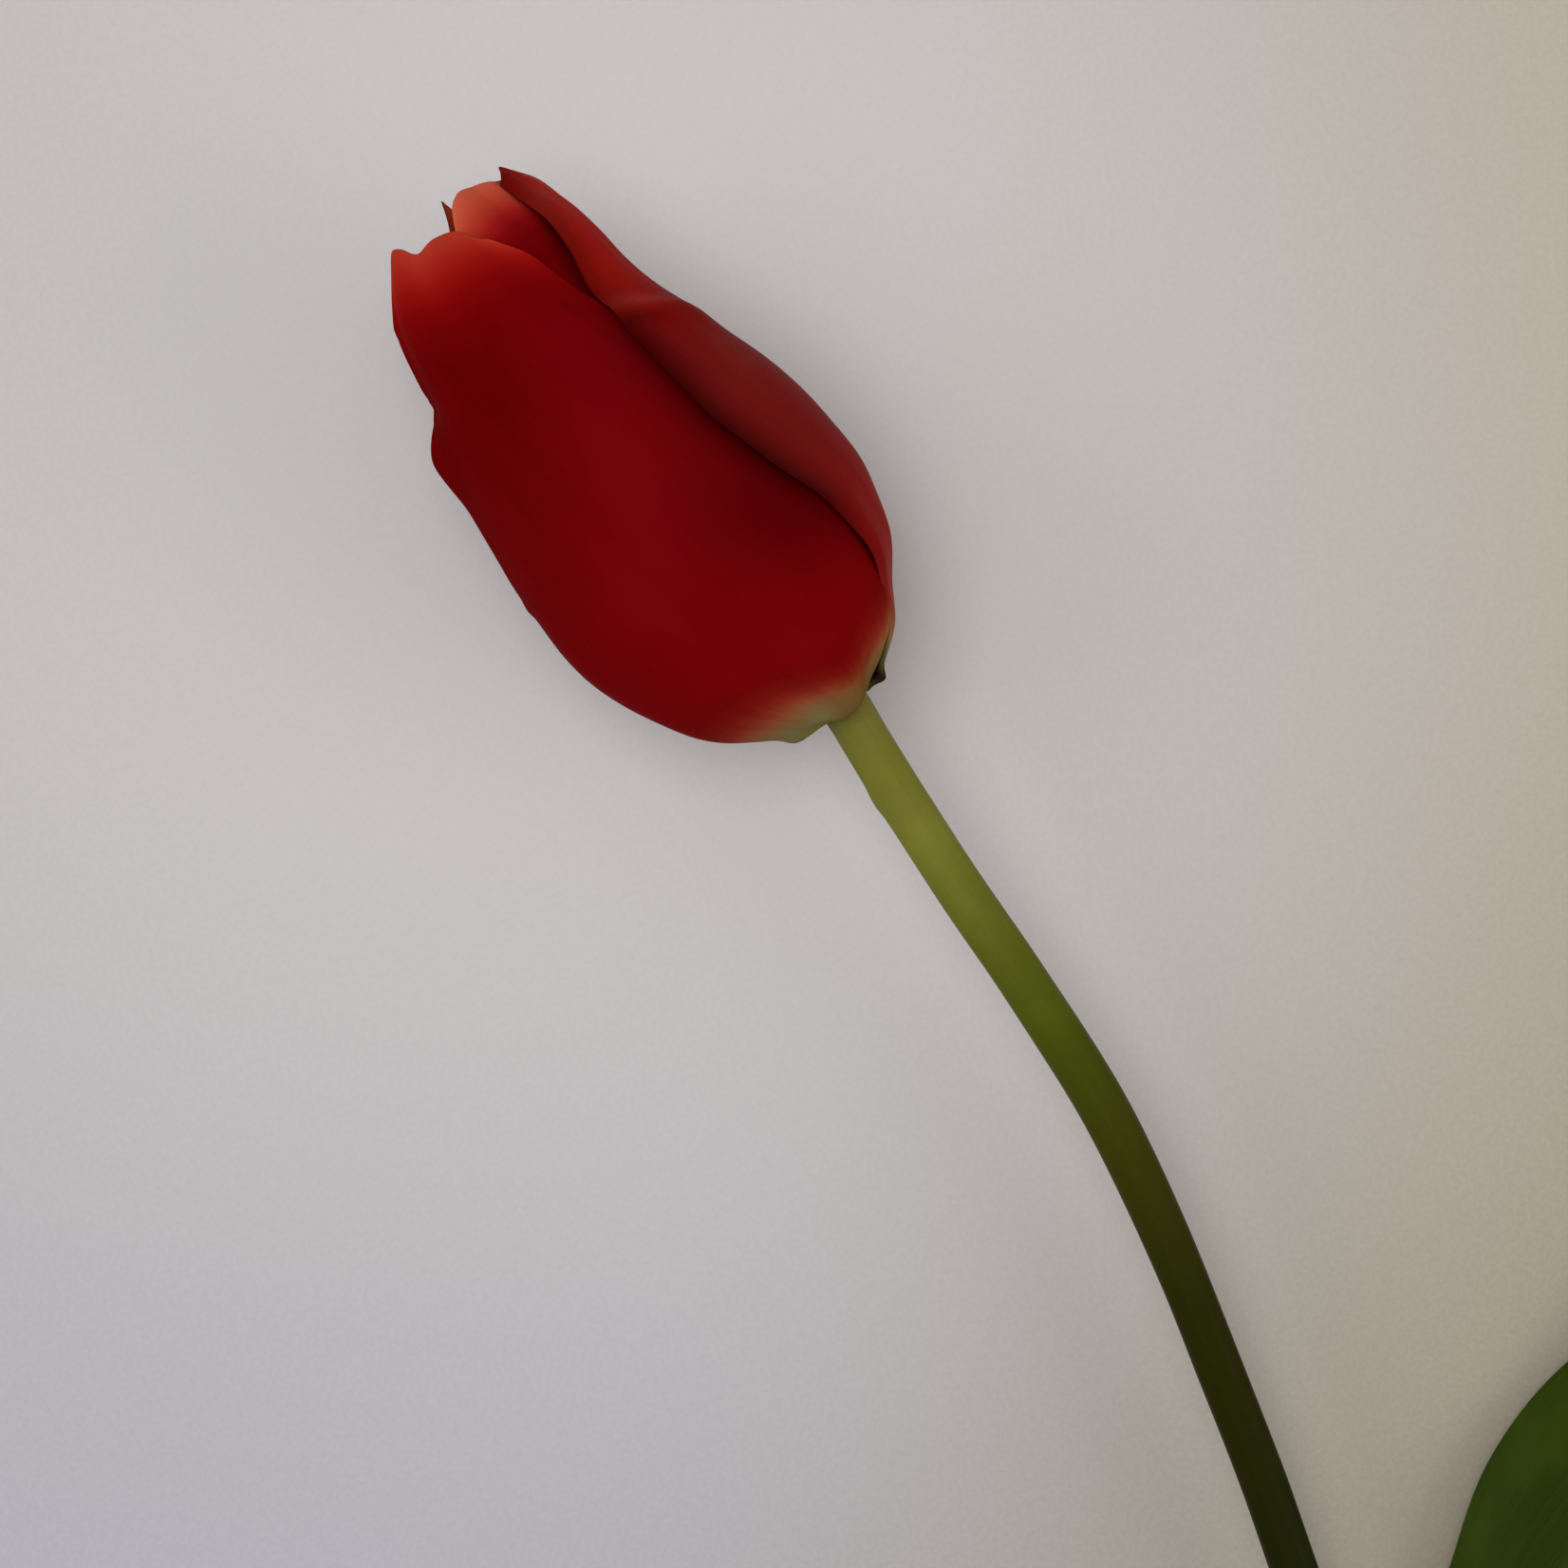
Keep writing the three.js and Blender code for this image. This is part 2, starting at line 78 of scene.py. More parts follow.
# %% [markdown]
# ## Curves through measured rows
# A petal's outline, the bloom's swelling and the stem's bend are smooth curves. Curve objects could draw
# them, but a function can be asked for a value at any place. So one helper reads a table of measured rows
# and joins them by cubic pieces that share their slopes.

# %% Read a smooth curve from a table


def table_curve(rows, column=1):
    """A function that reads a column's value at a value of the first column."""
    xs = [row[0] for row in rows]
    ys = [row[column] for row in rows]
    last = len(xs) - 1
    slopes = []
    for i in range(last + 1):
        before, after = max(i - 1, 0), min(i + 1, last)
        slopes.append((ys[after] - ys[before]) / (xs[after] - xs[before]))

    def value_at(x):
        x = min(max(x, xs[0]), xs[last])
        i = min(max(bisect.bisect_left(xs, x) - 1, 0), last - 1)
        span = xs[i + 1] - xs[i]
        t = (x - xs[i]) / span
        rise = ys[i + 1] - ys[i]
        start, end = slopes[i] * span, slopes[i + 1] * span
        return ys[i] + t * (start + t * (3 * rise - 2 * start - end + t * (start + end - 2 * rise)))

    return value_at


print("half way between 2 and 4:", table_curve([(0, 2), (1, 4)])(0.5))

# %% [markdown]
# Most forms on a flower begin and end softly. Two more helpers write that: a smooth step and a round
# hump. A texture could hold such forms too, but a formula has no grain and is easily moved.

# %% Step and swell softly


def ease(x, low, high):
    """0 below low and 1 above high, with a smooth step between them."""
    t = min(max((x - low) / (high - low), 0), 1)
    return t * t * (3 - 2 * t)


def hump(x, height, at, spread):
    """A height at one place, which falls away to both sides of it."""
    return height * math.exp(-(((x - at) / spread) ** 2))


def humps(x, forms):
    """Several humps added up."""
    return sum(hump(x, *form) for form in forms)


print("near the top of a hump of 2:", round(hump(0.3, 2, 0, 1.2), 3))

# %% [markdown]
# ## The bloom's form
# Closed petals lie on one egg-shaped form. Six loose sheets would have to be fitted to each other, so all
# of them are bent over that form instead. The table walks up it from the stem: height over the foot,
# radius, and a shift to the right, because no bloom is quite even. Petals are measured along that walk.

# %% Walk up the bloom
BLOOM_STATIONS = [
    (0.7, 3.6, 0), (0.95, 5, 0), (1.6, 6.4, 0), (2.7, 8.2, 0.1), (4.7, 11.2, -0.1), (7.2, 14, -0.5),
    (10, 16, -0.8), (14.6, 18.5, -0.7), (19.4, 20.5, -0.7), (24, 21.8, -0.8), (29, 22.1, -0.9),
    (35, 21.8, -0.9), (41, 21, -1.15), (47, 19.7, -1.55), (52, 18.3, -1.7), (57.5, 16.5, -1.9),
    (62, 15.2, -1.6), (67, 14.4, -1.2), (72, 13.2, -0.9), (76.7, 10.9, -0.7), (80, 9, -0.3),
    (84, 6.1, -0.1), (88, 4, -0.1),
]
walk = [(0, *BLOOM_STATIONS[0])]
for lower, upper in zip(BLOOM_STATIONS, BLOOM_STATIONS[1:]):
    walk.append((walk[-1][0] + math.hypot(upper[0] - lower[0], upper[1] - lower[1]), *upper))
height_at = table_curve(walk, 1)
radius_at = table_curve(walk, 2)
shift_at = table_curve(walk, 3)
print("from the stem to the top along a petal:", round(walk[-1][0], 1), "mm")

# %% [markdown]
# ## Laying the bloom down
# A cut flower lies on its side, but it is easier to shape a bloom that stands upright with its front
# towards -Y. The finished objects could be turned, but they would keep that turn. So one matrix lays each
# point down: the top points along +Y, a little up and a little to the left.

# %% Place the bloom
BLOOM_LEAN = 12
BLOOM_RISE = 4
bloom_turn = Euler((math.radians(BLOOM_RISE - 90), 0, math.radians(BLOOM_LEAN)), "XYZ")
BLOOM_PLACE = Matrix.Translation((0, 0, NECK_HEIGHT)) @ bloom_turn.to_matrix().to_4x4()
BLOOM_AXIS = (BLOOM_PLACE.to_3x3() @ Vector((0, 0, 1))).normalized()
print("the bloom points along", tuple(round(value, 3) for value in BLOOM_AXIS))

# %% [markdown]
# ## The petals' measures
# Each petal has the angle of its tip round the bloom, half widths to its left and right by the length
# along it, and the line of its top edge. One petal could be copied six times, but no two that show are
# alike. Only those that hide share two plain margins.

# %% Measure the plain margins
OUTER_MARGIN = [
    (0, 2.6), (4, 6.6), (9, 12), (14, 17.2), (20, 21.6), (26, 24.6), (33, 26), (40, 26), (47, 24.8),
    (56, 22), (64, 18.6), (71, 15.2), (78, 11.6), (85, 7),
]
INNER_MARGIN = [
    (0, 2.5), (4, 5.8), (9, 10), (14, 14), (20, 18), (26, 20.6), (33, 22), (40, 22), (48, 20.8),
    (56, 18.8), (64, 16.2), (72, 13.4), (80, 10.2), (87, 7.2),
]
print("widest plain petal:", 2 * max(width for _, width in OUTER_MARGIN), "mm")

# %% [markdown]
# The outer petals lie over each other like a twist of paper: each left margin covers its neighbour's
# right one, so the two sides are measured apart. Sag is the tongue that hangs over the stem, and bend
# draws a tip in.

# %% Measure the outer petals
FRONT_PETAL = {
    "tip": -42,
    "left": [
        (0, 2.4), (1.5, 3.2), (3.3, 9), (5.7, 11.4), (9.6, 14.7), (13, 17.8), (16.5, 20.4),
        (22, 23.4), (27, 25.2), (32, 26.2), (37, 26.2), (43, 25), (49, 23.2), (55, 21.2), (60, 19.3),
        (64, 18), (67.5, 16.8), (70.5, 15), (75.5, 13.6), (80.6, 11.8), (85, 9.6),
    ],
    "right": [
        (0, 5.3), (4, 12.8), (8, 18.2), (12, 22.2), (16.5, 25.2), (22, 26.9), (29, 28), (36, 27.6),
        (42, 27), (48, 26), (54, 24.6), (60, 22.4), (65.5, 20), (71.6, 16.9), (77.4, 14.4),
        (80.5, 12), (82.4, 10.4),
    ],
    "top": [
        (-1, 80.6), (-0.87, 84.9), (-0.73, 88.1), (-0.52, 89.9), (-0.22, 89.2), (0, 87.2),
        (0.28, 87.4), (0.51, 87), (0.64, 86.2), (0.83, 84), (1, 82.4),
    ],
    "sag": 2,
}
RIGHT_PETAL = {
    "tip": 78,
    "left": [
        (0, 2.6), (2.4, 3.3), (4.4, 3.3), (8, 4.6), (11, 6.8), (16.4, 11.6), (22.4, 16.3),
        (29, 20.5), (35.4, 23.4), (41, 24.2), (46, 23.9), (50, 22.6), (58, 19.3), (64.4, 15.6),
        (72, 11.2), (78, 8.3), (84.4, 5), (88.6, 3.3),
    ],
    "right": OUTER_MARGIN,
    "top": [(-1, 88.6), (-0.5, 89.6), (0, 90.2), (0.3, 90.2), (0.6, 89.6), (0.85, 88.2), (1, 86.8)],
    "sag": 0.8,
}
BACK_PETAL = {
    "tip": 199,
    "left": OUTER_MARGIN,
    "right": [(0, 1.8), (2, 2.8), (4, 5.4), (6.5, 8.8)] + OUTER_MARGIN[2:],
    "top": [(-1, 82), (-0.5, 85.4), (0, 87.2), (0.5, 85.4), (1, 82)],
    "sag": 0.8,
    "bend": 2,
}
print("the front petal's tip is", RIGHT_PETAL["tip"] - FRONT_PETAL["tip"], "degrees from the right one's")

# %% [markdown]
# The inner petals fill the gaps between the outer ones. Only the rounded top of the right one and the
# pointed tip of the back one show, so the third keeps a plain top.

# %% Measure the inner petals
INNER_RIGHT_PETAL = {
    "tip": 36,
    "left": INNER_MARGIN[:-2] + [(80, 9.4), (87, 5.4)],
    "right": INNER_MARGIN[:-2] + [(80, 11.2), (87, 8.4)],
    "top": [
        (-1, 84.6), (-0.82, 87.6), (-0.6, 89.7), (-0.4, 90.9), (-0.2, 91.5), (0, 91.4), (0.15, 90.8),
        (0.35, 89.8), (0.6, 89.4), (0.85, 89.2), (1, 88.8),
    ],
    "bend": -1.3,
}
INNER_BACK_PETAL = {
    "tip": 165,
    "left": INNER_MARGIN,
    "right": INNER_MARGIN,
    "top": [
        (-1, 84), (-0.3, 87.4), (0, 91.6), (0.19, 95.2), (0.3, 94), (0.42, 92), (0.6, 89), (1, 84),
    ],
    "bend": 2,
}
INNER_LEFT_PETAL = {
    "tip": -85,
    "left": INNER_MARGIN,
    "right": INNER_MARGIN,
    "top": [(-1, 86), (-0.75, 88.6), (-0.3, 90.2), (0.3, 90.2), (0.75, 88.4), (1, 85.6)],
    "bend": 4.6,
}
print("the back one's tip stands", max(top for _, top in INNER_BACK_PETAL["top"]), "mm from the foot")

# %% Read the measures as curves
PETALS = {
    "outer_petal_front": FRONT_PETAL,
    "outer_petal_right": RIGHT_PETAL,
    "outer_petal_back": BACK_PETAL,
    "inner_petal_right": INNER_RIGHT_PETAL,
    "inner_petal_back": INNER_BACK_PETAL,
    "inner_petal_left": INNER_LEFT_PETAL,
}
for seed, (name, petal) in enumerate(PETALS.items()):
    petal["seed"] = seed
    petal["inner"] = name.startswith("inner")
    petal["left width"] = table_curve(petal["left"])
    petal["right width"] = table_curve(petal["right"])
    petal["top edge"] = table_curve(petal["top"])
print(len(PETALS), "petals measured")

# %% [markdown]
# ## What each petal does of its own
# A petal starts as a flat sheet, with s along it from 0 to 1 and u across it from -1 to 1. None of them
# keeps to the plain form: the front one bulges, nicks and tucks in at its margins, and the right one
# rolls in, creases and sticks out a small lobe at its foot. Sculpting would do this by eye. Here each
# habit is a hump, with its height in millimetres, its place along the petal and its spread, so it can
# be read and moved.

# %% List the petals' habits
FRONT_BULGE = [(1.65, 63.6, 3.6), (0.45, 59.5, 2.6), (-0.75, 69.8, 1.6)]
FRONT_NICK = (0.35, 42, 0.9)
FRONT_CORNER = (0.7, 3.9, 1.6)
FRONT_TUCK = 0.5
RIGHT_ROLL = -1.3
RIGHT_LIP = -0.55
RIGHT_CREASE = (1.0, 65.3, 2.2)
CREASE_SLANT = 9
RIGHT_SHOULDER = (0.9, 84.9, 3)
RIGHT_WAIST = (-0.5, 56, 8)
RIGHT_FOOT = [(0.3, 22, 3.2), (-0.6, 14, 3.6)]
FOOT_LOBE = (1.1, 2.4, 0.75)
INNER_TOP = (0.7, 91, 8)


def habit(name, along, u):
    """How far this petal stands off the plain form."""
    if name == "outer_petal_front":
        bulge = humps(along, FRONT_BULGE) * ease(-u, 0.45, 1)
        nick = hump(along, *FRONT_NICK) * hump(u, 1, -1, 0.05)
        tuck = FRONT_TUCK * ease(u, 0.45, 0.85) * ease(along, 1, 5) * (1 - ease(along, 26, 42))
        corner = hump(along, *FRONT_CORNER) * ease(-u, 0.55, 0.9)
        return bulge + nick + tuck + corner
    if name == "outer_petal_right":
        roll = RIGHT_ROLL * ease(-u, 0.5, 1) * ease(along, 60, 70)
        lip = RIGHT_LIP * ease(-u, 0.88, 1) * ease(along, 4, 9)
        crease = hump(along + CREASE_SLANT * (1 + u), *RIGHT_CREASE) * ease(-u, 0, 0.6)
        shoulder = hump(along, *RIGHT_SHOULDER) * ease(u, -0.4, 0.3)
        waist = hump(along, *RIGHT_WAIST) * ease(u, -0.4, 0.2)
        foot_lobe = hump(along, *FOOT_LOBE) * hump(u, 1, -1, 0.1)
        return roll + lip + crease + shoulder + waist + humps(along, RIGHT_FOOT) + foot_lobe
    if name == "inner_petal_right":
        return hump(along, *INNER_TOP) * ease(u, 0, 1)
    return 0


print("the front petal's bulge:", round(habit("outer_petal_front", 63.6, -1), 2), "mm")

# %% [markdown]
# ## A point on a petal
# Petals turn as they grow, so they wrap the bloom at a slant and overlap. A Shrinkwrap modifier could
# bend a sheet, but it knows about neither. So this step says where each point goes: up the bloom by its
# length, round it by its width and the turn, and off it by the overlap, the tongue over the stem and the
# petal's habits.

# %% Find a point's place
PETAL_TWIST = 28
PETAL_REACH = 92
PETAL_LAP = 0.573
INNER_WHORL_DEPTH = 2.6
SAG_ALONG = (2.4, 1.9)
SAG_ACROSS = (0.2, 0.4)
BEND_FROM = 70
MARGIN_LIFT = 0.45


def outward_at(along):
    """The bloom's outward direction, as its share out from the axis and its share up."""
    rise = height_at(along + 0.5) - height_at(along - 0.5)
    spread = radius_at(along + 0.5) - radius_at(along - 0.5)
    return Vector((rise, -spread)).normalized()


def petal_spot(name, petal, s, u):
    """A petal's point as its length along, its angle round and its lift."""
    along = s * petal["top edge"](u)
    width = petal["left width"] if u < 0 else petal["right width"]
    half_width = width(s * petal["top edge"](math.copysign(1, u)))
    whorl = -INNER_WHORL_DEPTH if petal["inner"] else 0
    turn = u * half_width / (radius_at(along) + whorl * outward_at(along).x)
    angle = math.radians(petal["tip"] + PETAL_TWIST * (1 - along / PETAL_REACH)) + turn
    bent = max(0, (along - BEND_FROM) / (PETAL_REACH - BEND_FROM)) ** 2
    lift = whorl - PETAL_LAP * turn - petal.get("bend", 0) * bent + habit(name, along, u)
    if not petal["inner"]:
        lift += MARGIN_LIFT * ease(-u, 0.55, 1) * ease(along, 8, 24)
    lift += petal.get("sag", 0) * hump(along, 1, *SAG_ALONG) * hump(u, 1, *SAG_ACROSS)
    return along, angle, lift


def on_bloom(along, angle, lift):
    """A point of the lying bloom, in millimetres from the spot under its foot."""
    outward = outward_at(along)
    radius = radius_at(along) + lift * outward.x
    height = height_at(along) + lift * outward.y
    upright = Vector((radius * math.sin(angle) + shift_at(along), -radius * math.cos(angle), height))
    return BLOOM_PLACE @ upright


top = on_bloom(*petal_spot("outer_petal_right", RIGHT_PETAL, 1, 0))
print("the right petal's tip is at", tuple(round(value, 1) for value in top))

# %% [markdown]
# ## What makes a petal look grown
# A real petal is never smooth. It has a shallow groove down its middle, low swells and cords along it,
# and a margin that waves. A Displace modifier could do this, but its texture wouldn't stretch along the
# petal. So noise of the petal's own length and width lifts each point a few tenths of a millimetre.

# %% Add the petal's relief
GROOVE_DEPTH = 0.28
GROOVE_SPREAD = 0.07
SWELL = 0.3
SWELL_PLACES = (3.2, 26)
SMALL_SWELL = 0.35
CORD = 0.05
CORD_PLACES = (24, 45)
MARGIN_WAVE = 0.22
LONG_WAVE, SHORT_WAVE = 3.1, 1.7


def relief(petal, along, u):
    """How far the petal's skin stands off there."""
    seed = petal["seed"]
    fade = ease(along, 4, 14)
    groove = -hump(u, GROOVE_DEPTH, 0, GROOVE_SPREAD) * fade * (1 - 0.5 * ease(along, 60, 85))
    place = Vector((u * SWELL_PLACES[0], along / SWELL_PLACES[1], seed * 7.3))
    swells = SWELL * noise.noise(place) + SMALL_SWELL * SWELL * noise.noise(place * 2.7)
    cords = CORD * noise.noise(Vector((u * CORD_PLACES[0], along / CORD_PLACES[1], seed * 3.1)))
    wave = math.sin(along / LONG_WAVE + 2 * seed) + 0.6 * math.sin(along / SHORT_WAVE + seed)
    margin = MARGIN_WAVE * wave * ease(abs(u), 0.8, 1) * ease(along, 18, 40)
    return groove + fade * (swells + cords) + 0.5 * margin


print("relief at the middle of the front petal:", round(relief(FRONT_PETAL, 40, 0), 3), "mm")

# %% [markdown]
# ## The shade in the fold
# Where the right petal's margin presses on the front one, almost no light gets in. The lamps alone leave
# that line too pale, and an image of it would be drawn by hand. But the margin's place is known, so each
# vertex is told how deep in the fold it lies.

# %% Shade the fold
FOLD_ON_RIGHT = (0.76, 2.7, 1.7)
FOLD_ON_FRONT = (0.55, 2.8, 1.3)
LOBE_SHADE_DARKNESS = 0.98
UNDER_TIP_SHADE = 0.6


def right_margin_angle(along):
    """The angle of the right petal's left margin, which lies over the front petal."""
    s = min(along / RIGHT_PETAL["top edge"](-1), 1)
    return petal_spot("outer_petal_right", RIGHT_PETAL, s, -1)[1]


def fading(apart, depth, darkness, reach, steepness):
    """A fold's darkness at a distance from its line."""
    reach *= 0.45 + 0.55 * depth
    return darkness * math.exp(-((max(apart, 0) / reach) ** steepness))


def fold_shade(name, along, angle, u):
    """How dark a point is in the fold, from 0 to 1."""
    apart = (angle - right_margin_angle(along)) * radius_at(along)
    depth = (0.3 * ease(along, 7, 12) + 0.7 * ease(along, 20, 32)) * (1 - 0.3 * ease(along, 58, 68))
    if name == "outer_petal_right":
        # Painted shade: a near-black spot round the foot of this margin, by its small lobe.
        painted_lobe_shade = LOBE_SHADE_DARKNESS * ease(-apart, -3, -1) * hump(along, 1, 2.2, 2.5)
        return max(depth * fading(apart, depth, *FOLD_ON_RIGHT), painted_lobe_shade)
    if name == "outer_petal_front":
        open_top = 1 - 0.4 * ease(along, 46, 58)
        return open_top * depth * fading(-apart, depth, *FOLD_ON_FRONT)
    if name == "inner_petal_right":
        return UNDER_TIP_SHADE * ease(u, 0.35, 0.7) * ease(along, 85, 88)
    return 0


on_margin = fold_shade("outer_petal_right", 45, right_margin_angle(45), -1)
print("shade half way up the fold:", round(on_margin, 2))

# %% [markdown]
# ## From a flat sheet to a petal
# A petal is a thin skin. A block could be carved thin, but a grid that is bent point by point keeps a
# flat map of itself for the finish. Its rows and columns lie closer together near the root and the
# margins, where the form turns most.

# %% Cut and bend a sheet
PETAL_COLUMNS = 48
PETAL_ROWS = 96
ROOT_PULL = 0.6
ABOVE_SURFACE = 0.02


def closer_to_root(s):
    return s - ROOT_PULL * s * (1 - s) ** 4


def closer_to_margin(t):
    return t * (1.5 - 0.5 * t * t)


def keep_flat_map(sheet, flat_map, places):
    """Smooths the faces and writes down where each corner lay in the flat sheet."""
    for face in sheet.faces:
        face.smooth = True
        for loop in face.loops:
            loop[flat_map].uv = places[loop.vert]


def petal_sheet(name, petal):
    """A petal's outer face as a bent grid, with its flat map and its fold shade."""
    sheet = bmesh.new()
    bmesh.ops.create_grid(sheet, x_segments=PETAL_COLUMNS, y_segments=PETAL_ROWS, size=1)
    flat_map = sheet.loops.layers.uv.new("petal")
    shade = sheet.verts.layers.float.new("fold")
    places = {}
    for vert in sheet.verts:
        u = closer_to_margin(vert.co.x)
        s = closer_to_root((vert.co.y + 1) / 2)
        along, angle, lift = petal_spot(name, petal, s, u)
        places[vert] = ((u + 1) / 2, s)
        vert[shade] = fold_shade(name, along, angle, u)
        point = on_bloom(along, angle, lift + relief(petal, along, u))
        point.z = max(point.z, ABOVE_SURFACE)
        vert.co = in_frame(point)
    keep_flat_map(sheet, flat_map, places)
    return sheet


print("a petal's sheet has", PETAL_COLUMNS * PETAL_ROWS, "faces")

# %% [markdown]
# The sheet then gets its wall. Solidify adds it under the outer face, which keeps the outline, and thins
# it towards the margins by a weight on each vertex. One level of Subsurf rounds the margin off.

# %% Give a sheet its wall
PETAL_WALL = 0.62
PETAL_THIN_PART = 0.16
MARGIN_SHARE = 0.4
TIP_SHARE = 0.05


def put_in_scene(name, data):
    """An object of that name in the scene."""
    thing = bpy.data.objects.new(name, data)
    bpy.context.scene.collection.objects.link(thing)
    return thing


def make_object(name, mesh_maker):
    """Turns a bmesh into an object."""
    mesh = bpy.data.meshes.new(name)
    mesh_maker.to_mesh(mesh)
    mesh_maker.free()
    return put_in_scene(name, mesh)


def wall_weights(sheet, label, margin):
    """1 inside a sheet, and down to 0 at its margins and its tip, for each vertex."""
    flat_map = sheet.loops.layers.uv[label]
    weights = []
    for vert in sheet.verts:
        across, s = vert.link_loops[0][flat_map].uv
        weights.append(ease(1 - abs(2 * across - 1), 0, margin) * ease(1 - s, 0, TIP_SHARE))
    return weights


def thicken(name, sheet, label, thickness, margin):
    """A sheet as an object with a wall under its outer face."""
    weights = wall_weights(sheet, label, margin)
    piece = make_object(name, sheet)
    group = piece.vertex_groups.new(name="body")
    for index, weight in enumerate(weights):
        group.add([index], weight, "REPLACE")
    wall = piece.modifiers.new("wall", "SOLIDIFY")
    wall.thickness = thickness * MM
    wall.offset = -1
    wall.vertex_group = group.name
    wall.thickness_vertex_group = MARGIN_SHARE
    wall.material_offset = 1
    smooth = piece.modifiers.new("smooth", "SUBSURF")
    smooth.levels = 1
    smooth.render_levels = 1
    return piece


print("a petal's wall thins from", PETAL_WALL, "to", round(PETAL_WALL * MARGIN_SHARE, 2), "mm")

# %% Make the six petals
petal_objects = {}
for name, petal in PETALS.items():
    sheet = petal_sheet(name, petal)
    piece = thicken(name + "_petal", sheet, "petal", PETAL_WALL, PETAL_THIN_PART)
    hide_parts(name)
    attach(piece, "root")
    petal_objects[name] = piece
    print(piece.name, len(piece.data.polygons), "faces before smoothing")

# %% [markdown]
# ## The stem
# A tulip's stem is a juicy bare rod, slim under the bloom and stouter at the cut. A bevelled Curve object
# would draw it too, but its thickness is hard to steer. So a straight tube is cut into short lengths, and
# each ring is moved to its place beside the stem's middle line.

# %% Draw the stem's middle line
NECK_RADIUS = 3.15
CUT_END_RADIUS = 3.2
RECEPTACLE_RADIUS = 3.2
RECEPTACLE_TOP_RADIUS = 2.4
RECEPTACLE_HEIGHT = 4.5
STEM_SWELLS = [(-0.13, 100, 55), (0.15, 60, 24)]
STEM_LINE = [
    (0.35, -4.5, 20.1), (1.2, -14, 19.5), (2.6, -26, 18.7), (4.85, -42, 17.6), (6.55, -58, 16.5),
    (6.8, -70, 15.7), (6.2, -84, 14.7), (5.05, -98, 13.7), (3.9, -111.5, 12.7), (2.5, -123, 11.9),
    (-0.8, -150, 10), (-4, -180, 7.8), (-6.8, -214, 5.3), (-8.6, -247, 3.2),
]


def line_rows(points):
    """The points of a line with the distance to each in front."""
    rows = [(0.0, *points[0])]
    for point in points[1:]:
        rows.append((rows[-1][0] + (Vector(point) - Vector(rows[-1][1:])).length, *point))
    return rows


def line_curve(rows):
    x, y, z = (table_curve(rows, column) for column in (1, 2, 3))
    return lambda distance: Vector((x(distance), y(distance), z(distance)))


neck = Vector((0, 0, NECK_HEIGHT))
stem_rows = line_rows([tuple(neck + BLOOM_AXIS * RECEPTACLE_HEIGHT), tuple(neck)] + STEM_LINE)
stem_middle = line_curve(stem_rows)
STEM_REACH = stem_rows[-1][0]


def beside_stem(distance, out, turn):
    """A point down the stem, out from its middle and turned up from its right side."""
    along = (stem_middle(distance + 0.5) - stem_middle(distance - 0.5)).normalized()
    right = Vector((0, 0, 1)).cross(along).normalized()
    up = along.cross(right)
    return stem_middle(distance) + right * (out * math.cos(turn)) + up * (out * math.sin(turn))


def stem_radius(distance):
    """The stem's radius at a distance from its top, inside the bloom."""
    below = distance - RECEPTACLE_HEIGHT
    swell = (RECEPTACLE_RADIUS - NECK_RADIUS) * (1 - ease(below, 0, 2.5))
    slim = humps(below, STEM_SWELLS)
    taper = (RECEPTACLE_TOP_RADIUS - RECEPTACLE_RADIUS) * (1 - ease(distance, 1.4, 3.4))
    return NECK_RADIUS + swell + slim + taper + (CUT_END_RADIUS - NECK_RADIUS) * ease(below, 130, 200)


print("the stem is", round(STEM_REACH), "mm long and", round(2 * stem_radius(60), 2), "mm thick")

# %% Roughen the stem
STEM_RIBS = 9
RIB_HEIGHT = 0.035
RIB_TWIST = 70
UNEVEN = 0.07
UNEVEN_LENGTH = 14
KNOT = (0.28, 16.5, 1.6)


def stem_surface(distance, turn):
    """The stem's radius with its faint ribs and one small knot."""
    fade = ease(distance, 6, 12)
    ribs = RIB_HEIGHT * math.cos(STEM_RIBS * turn + distance / RIB_TWIST) * fade
    place = Vector((math.cos(turn), math.sin(turn), distance / UNEVEN_LENGTH))
    knot = hump(distance, *KNOT) * max(0, math.cos(turn - math.pi)) ** 4
    return stem_radius(distance) + ribs + UNEVEN * noise.noise(place) * fade + knot


print("the knot stands off", round(stem_surface(16.5, math.pi) - stem_radius(16.5), 2), "mm")

# %% Bend a tube into the stem
STEM_SIDES = 40
STEM_LENGTHS = 150
STEM_MAP_LENGTH = 100

tube = bmesh.new()
bmesh.ops.create_cone(tube, cap_ends=True, segments=STEM_SIDES, radius1=1, radius2=1, depth=1)
lengthwise = [edge for edge in tube.edges if abs(edge.verts[0].co.z - edge.verts[1].co.z) > 0.5]
bmesh.ops.subdivide_edges(tube, edges=lengthwise, cuts=STEM_LENGTHS - 1, use_grid_fill=True)
stem_map = tube.loops.layers.uv.new("stem")
spots = {}
for vert in tube.verts:
    share = 0.5 - vert.co.z
    distance = STEM_REACH * (share - 0.35 * share * (1 - share) ** 5)
    turn = math.atan2(-vert.co.y, vert.co.x)
    spots[vert] = (distance, turn)
for face in tube.faces:
    face.smooth = len(face.verts) == 4
    turns = [spots[loop.vert][1] for loop in face.loops]
    over_seam = max(turns) - min(turns) > math.pi
    for loop, turn in zip(face.loops, turns):
        turned = turn + (2 * math.pi if over_seam and turn < 0 else 0)
        loop[stem_map].uv = (turned / (2 * math.pi), spots[loop.vert][0] / STEM_MAP_LENGTH)
for vert, (distance, turn) in spots.items():
    vert.co = in_frame(beside_stem(distance, stem_surface(distance, turn), turn))
bmesh.ops.recalc_face_normals(tube, faces=tube.faces)
print("the tube has", len(tube.verts), "points")

# %% [markdown]
# ## The cut end
# A florist's knife leaves a flat face with a firm green rim and a paler, wetter pith that sinks as it
# dries. A Boolean could dig it out, but three insets are enough, with the inner two pushed in.

